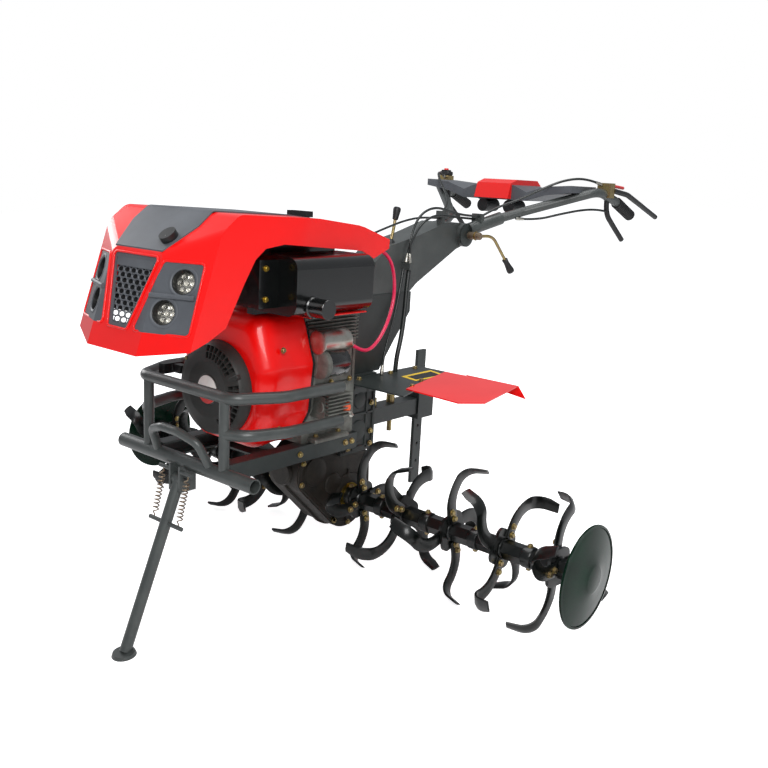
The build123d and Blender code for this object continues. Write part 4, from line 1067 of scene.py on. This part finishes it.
for row in range(11):
    z = 627 - row * 11
    half_span = 34 + (z - 512) * 44 / 150 - 7
    for column in range(-4, 5):
        x = column * 22 + (row % 2) * 11
        if abs(x) > half_span:
            continue
        middle = face_point(x, z, -3)
        inner, outer = oval(8.4, 4.6), oval(11.4, 7.6)
        halfway = (inner + outer) / 2
        rim = [inner + [0, 0.6, 0], halfway - [0, 1.2, 0], outer + [0, 0.6, 0], halfway + [0, 2, 0]]
        mesh_parts.append(shell(middle + np.array(rim), ring=True))
piece("grille_mesh", mesh_parts, grey_abs, replaces=("grille",), smooth=50)
piece("grille_backing", [leaning_plate([(-71, 652), (71, 652), (40, 545), (-40, 545)], 9, 2)],
    black_nylon)
piece("latch_bolt", bolts([(72, -606, 700)], [(0.1, -0.55, 0.83)], 9), drawn_steel)

# %% [markdown]
# The hood halves are moulded with generous radii, and it is those soft edges that catch the
# light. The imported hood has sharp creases, so its mesh is copied, flat regions are merged to
# single faces, and the long outer creases are rounded with a bevel of several steps.

# %% Soft hood edges
flattest, steepest = math.radians(5.0), math.radians(62.0)


def softened(name, node_name, millimetres, finish):
    """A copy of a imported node's mesh whose long creases are rounded, in the node's place."""
    source = frame["nodes"][node_name].data
    mesh = bpy.data.meshes.new(name)
    work = bmesh.new()
    work.from_mesh(source)
    bmesh.ops.remove_doubles(work, verts=work.verts[:], dist=0.00001)
    bmesh.ops.dissolve_limit(work, angle_limit=math.radians(0.8), verts=work.verts[:],
        edges=work.edges[:])
    creases = []
    for edge in work.edges:
        if len(edge.link_faces) != 2 or not edge.is_convex or edge.calc_length() < 0.03:
            continue
        middle = machine((edge.verts[0].co + edge.verts[1].co) / 2)
        beside_grille = abs(middle[0]) < 100 and middle[1] < -600
        if flattest < edge.calc_face_angle() < steepest and not beside_grille:
            creases.append(edge)
    bmesh.ops.bevel(
        work, geom=creases, offset=millimetres / 1000, offset_type="OFFSET", segments=5, profile=0.5,
        affect="EDGES", clamp_overlap=False,
    )
    work.to_mesh(mesh)
    work.free()
    mesh.materials.clear()
    mesh.materials.append(finish)
    mesh.polygons.foreach_set("material_index", np.zeros(len(mesh.polygons), np.int32))
    mesh.polygons.foreach_set("use_smooth", np.ones(len(mesh.polygons), bool))
    mesh.set_sharp_from_angle(angle=math.radians(24))
    made = bpy.data.objects.new(name, mesh)
    bpy.context.scene.collection.objects.link(made)
    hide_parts(node_name)
    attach(made, "chassis")
    print(name, len(creases), "creases", len(mesh.polygons), "faces")


softened("hood_skin", "hood", 12, red_gloss)
softened("hood_panel_skin", "hood_top_panel", 6, grey_abs)

# %% [markdown]
# The stand is held up or down by two coil springs. A spring is a wire carried along a helix
# with hooked ends; it is set on no body, fixed where it lies in the scene. Its two ends are
# read from the imported node that it replaces.

# %% Stand springs
def node_points(name):
    """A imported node's points in the machine's frame, in millimetres."""
    mesh = frame["nodes"][name].data
    flat = np.empty(len(mesh.vertices) * 3)
    mesh.vertices.foreach_get("co", flat)
    return machine(flat.reshape(-1, 3))


spring_points = node_points("stand_springs")
for side, side_name in ((1, "left"), (-1, "right")):
    own = spring_points[spring_points[:, 0] * side > 0]
    top = own[own[:, 2] > own[:, 2].max() - 6].mean(0)
    low = own[own[:, 2] < own[:, 2].min() + 6].mean(0)
    across, upward, run = square_frame(low - top)
    length = np.linalg.norm(low - top)
    turns = np.linspace(0, 1, 260)
    radius = 6.4 * np.clip(np.minimum(turns, 1 - turns) / 0.06, 0, 1)
    angle = turns * 11 * 2 * math.pi
    ramp = np.interp(turns, [0, 0.06, 0.94, 1], [0.0, 0.12, 0.88, 1.0])
    around = np.cos(angle)[:, None] * across + np.sin(angle)[:, None] * upward
    helix = top + ramp[:, None] * length * run + radius[:, None] * around
    wire = sweep(helix, circle_section(1.5, 8))
    coil = piece("stand_spring_" + side_name, [wire], spring_steel, None, ("stand_springs",))
    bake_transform(coil)

# %% [markdown]
# The gearbox is cast in two halves that meet on the middle plane. Its side view is the hull
# of three circles: for each direction the farthest circle gives the point, which is the
# closed form of a belt round three pulleys. The same outline, let out or drawn in, gives the
# joint flange, the raised covers, and the ring of bolts.

# %% Gearbox castings
hull = [((0, 0), 90), ((-128, 92), 66), ((52, 84), 34)]


def belt(offset, count=96):
    """The belt round the gearbox's circles as (y, z) points, let out by an offset."""
    angle = np.linspace(0, 2 * math.pi, count, endpoint=False)
    ways = np.stack([np.cos(angle), np.sin(angle)], axis=1)
    reaches = np.stack([ways @ np.array(centre) + radius for centre, radius in hull])
    farthest = reaches.argmax(0)
    centres = np.array([centre for centre, radius in hull], float)[farthest]
    radii = np.array([radius for centre, radius in hull], float)[farthest]
    return centres + (radii + offset)[:, None] * ways


def belt_row(offset, x):
    """The belt at one place across the machine."""
    line = belt(offset)
    return np.column_stack([np.full(len(line), x), line])


covers = [
    ((0, 0), [(62, 0), (60, 4), (50, 6), (46, 9), (40, 9.5)], 64),
    ((-128, 92), [(40, 0), (38, 5), (26, 8), (12, 9.5), (1, 10)], 48),
    ((-58, 44), [(30, 0), (28, 4), (18, 7), (1, 8)], 40),
]
castings = [shell([belt_row(4, -5), belt_row(6, -4), belt_row(6, 4), belt_row(4, 5)])]
gear_spots, gear_ways = [], []
for side in (1, -1):
    steps = ((-3, 51), (-5, 54), (-15, 54), (-17, 53), (-17, 51))
    castings.append(shell([belt_row(offset, side * x) for offset, x in steps]))
    for centre, profile, around in covers:
        castings.append(lathe((side * 51, *centre), (side, 0, 0), profile, around))
    for turn in range(0, 360, 45):
        way = np.array([0, math.cos(math.radians(turn)), math.sin(math.radians(turn))])
        spot = np.array([side * 54.5, 0, 0]) + way * 60
        castings.append(block(spot, (26, 5, 5), 1.5, 1, way, (1, 0, 0)))
    line = belt(-10, 400)
    marks = np.concatenate([[0], np.linalg.norm(np.diff(line, axis=0), axis=1).cumsum()])
    for mark in np.linspace(0, marks[-1], 14)[:-1]:
        spot = line[np.searchsorted(marks, mark)]
        gear_spots.append((side * 54, *spot))
        gear_ways.append((side, 0, 0))
piece("gearbox_castings", castings, oiled_iron, smooth=35)
piece("gearbox_bolts", bolts(gear_spots, gear_ways, 10), yellow_zinc)

lower_cap = [(30, 0), (28, 4), (16, 6), (1, 6.5)]
upper_cap = [(24, 0), (22, 4), (12, 7), (1, 7.5)]
housing = []
for side in (1, -1):
    for z, length, height in ((224, 112, 8), (130, 120, 10), (300, 120, 10)):
        housing.append(block((side * 63, 22, z), (6, length, height), 2, 1))
    for y in (-34, -6, 50, 78):
        housing.append(block((side * 63, y, 215), (6, 7, 180), 2, 1))
    for z, profile in ((178, lower_cap), (262, upper_cap)):
        housing.append(lathe((side * 61, 22, z), (side, 0, 0), profile, 40))
piece("housing_ribs", housing, cast_grey)
housing_rows = (136, 171, 250, 294)
housing_spots = [(side * 66, y, z) for side in (1, -1) for y in (-22, 66) for z in housing_rows]
piece("housing_bolts", bolts(housing_spots, [(1, 0, 0)] * 8 + [(-1, 0, 0)] * 8, 10), yellow_zinc)

# %% [markdown]
# Levers are two materials each: a plated rod that bends evenly and a moulded knob pushed
# onto its end. Grips are dipped PVC with finger rings, so the radius rises and falls along
# the axis. The tilt hub is a pressed disc with teeth that lock it, seen as a rim of notches.

# %% Levers, grips and hub
gear_path = [(18, 170, 668), (18, 176, 690), (18, 182, 716), (18, 185.5, 738)]
gear_rod = sweep(gear_path, circle_section(4.4, 16))
boot = lathe((18, 170, 668), (0, 0.05, 1), [(15, 0), (15, 3), (11, 8), (7, 12), (4.6, 14)], 32)
piece("gear_lever_rod", [gear_rod], yellow_zinc, body="stem", replaces=("gear_lever",))
gear_way = np.array([0, 7.5, 35.0]) / math.hypot(7.5, 35)
knob = [(5, 0), (8, 2), (8.6, 10), (10.6, 24), (10.8, 30), (9, 34.5), (5, 36), (0.6, 36.2)]
piece("gear_lever_knob", [lathe((18, 184.6, 732), gear_way, knob, 32), boot], black_nylon,
    body="stem")

lock_nut = bolts([(91, 470, 691)], [(1, 0, 0)], 17)
piece("lock_nut", lock_nut, brass_ring, body="handlebar")
sleeve = lathe((60, 470, 691), (1, 0, 0), [(10, 6), (11, 8), (11, 46), (9.5, 47), (9.5, 49)], 32)
piece("lock_sleeve", [sleeve], spring_steel, body="handlebar", replaces=("lock_lever",))
share = np.linspace(0, 1, 14)[:, None]
first, middle, last = np.array([[108, 500, 691.6], [118, 521, 692], [119.5, 538, 672]])
corner = (1 - share) ** 2 * first + 2 * share * (1 - share) * middle + share**2 * last
lock_start = [(101, 470, 691), (102, 476, 691), (105, 488, 691.3)]
lock_end = [(121.5, 562, 647), (123.6, 586, 622)]
lock_path = np.concatenate([lock_start, corner, lock_end])
piece("lock_rod", [sweep(lock_path, circle_section(4.6, 16))], yellow_zinc, body="handlebar")
lock_way = np.array([3.4, 37, -39.0]) / np.linalg.norm([3.4, 37, -39.0])
lock_knob = [(6, 0), (9, 2), (8, 14), (9.5, 30), (11.5, 46), (11, 51), (7, 53.5), (0.6, 53.8)]
piece("lock_knob", [lathe((123.5, 585, 623), lock_way, lock_knob, 32)], black_nylon,
    body="handlebar")

toothed = []
for side in (1, -1):
    angle = np.linspace(0, 2 * math.pi, 240, endpoint=False)
    tooth = 33.2 + 0.8 * np.sign(np.sin(angle * 40))
    rows = []
    for radius, x in ((tooth, 57.4), (tooth, 61.0), (30, 61.6), (26, 63.4), (14, 63.6)):
        y, z = 470 + radius * np.cos(angle), 691 + radius * np.sin(angle)
        rows.append(np.column_stack([np.full(240, side * x), y, z]))
    toothed.append(shell(rows))
piece("hub_teeth", toothed, plate_grey, body="handlebar", smooth=30)

gripping = []
for side in (1, -1):
    start, end = np.array([side * 310, 891, 810.0]), np.array([side * 314, 996, 768.0])
    run = end - start
    length = np.linalg.norm(run) * 0.92
    along = np.linspace(0, length, 64)
    ribbed = 16.5 + 0.9 * np.sin(along / length * 2 * math.pi * 11)
    profile = [(14, 0), (17.3, 0.6), (17.3, 4)] + list(zip(ribbed[4:-4], along[4:-4]))
    profile += [(17.3, length - 5), (17.3, length - 2), (14, length), (1, length)]
    gripping.append(lathe(start + run * 0.12, run, profile, 40))
piece("ribbed_grips", gripping, black_rubber, body="handlebar", replaces=("grips",))

switch = [block((-302, 842, 869), (38, 30, 14), 5, 2), block((-302, 842, 878), (28, 22, 6), 4, 1.5)]
piece("switch_case", switch, black_nylon, body="handlebar", replaces=("switch_box",))
button = lathe((-302, 842, 880), (0, 0, 1), [(8, -1), (8, 4), (6.5, 6), (1, 6.4)], 24)
piece("switch_button", [button], red_satin, body="handlebar")

# %% [markdown]
# The last bolts hold the frame together, and a plain yellow label lies on the left fender.

# %% Frame bolts and label
frame_spots = [(side * 133.2, y, 186) for side in (1, -1) for y in (-268, -108, -84)]
frame_ways = [(side, 0, 0) for side in (1, -1) for _ in range(3)]
fender_spots = ((84, -8), (84, 120), (84, 228), (196, 112), (222, 40))
frame_spots += [(side * x, y, 326.2) for side in (1, -1) for x, y in fender_spots]
frame_ways += [(0, 0, 1)] * 10
piece("frame_bolts", bolts(frame_spots, frame_ways, 10), yellow_zinc)
label = [(128, 112), (186, 100), (192, 226), (126, 244)]
border = [(140, 122), (178, 114), (182, 216), (138, 230)]
plate = shell([[(x, y, 326.0 + lift) for x, y in label] for lift in (0, 0.4)])
piece("plain_yellow_label", [plate], yellow_vinyl)
dark_plate = shell([[(x, y, 326.3 + lift) for x, y in border] for lift in (0, 0.3)])
piece("label_border", [dark_plate], black_nylon)
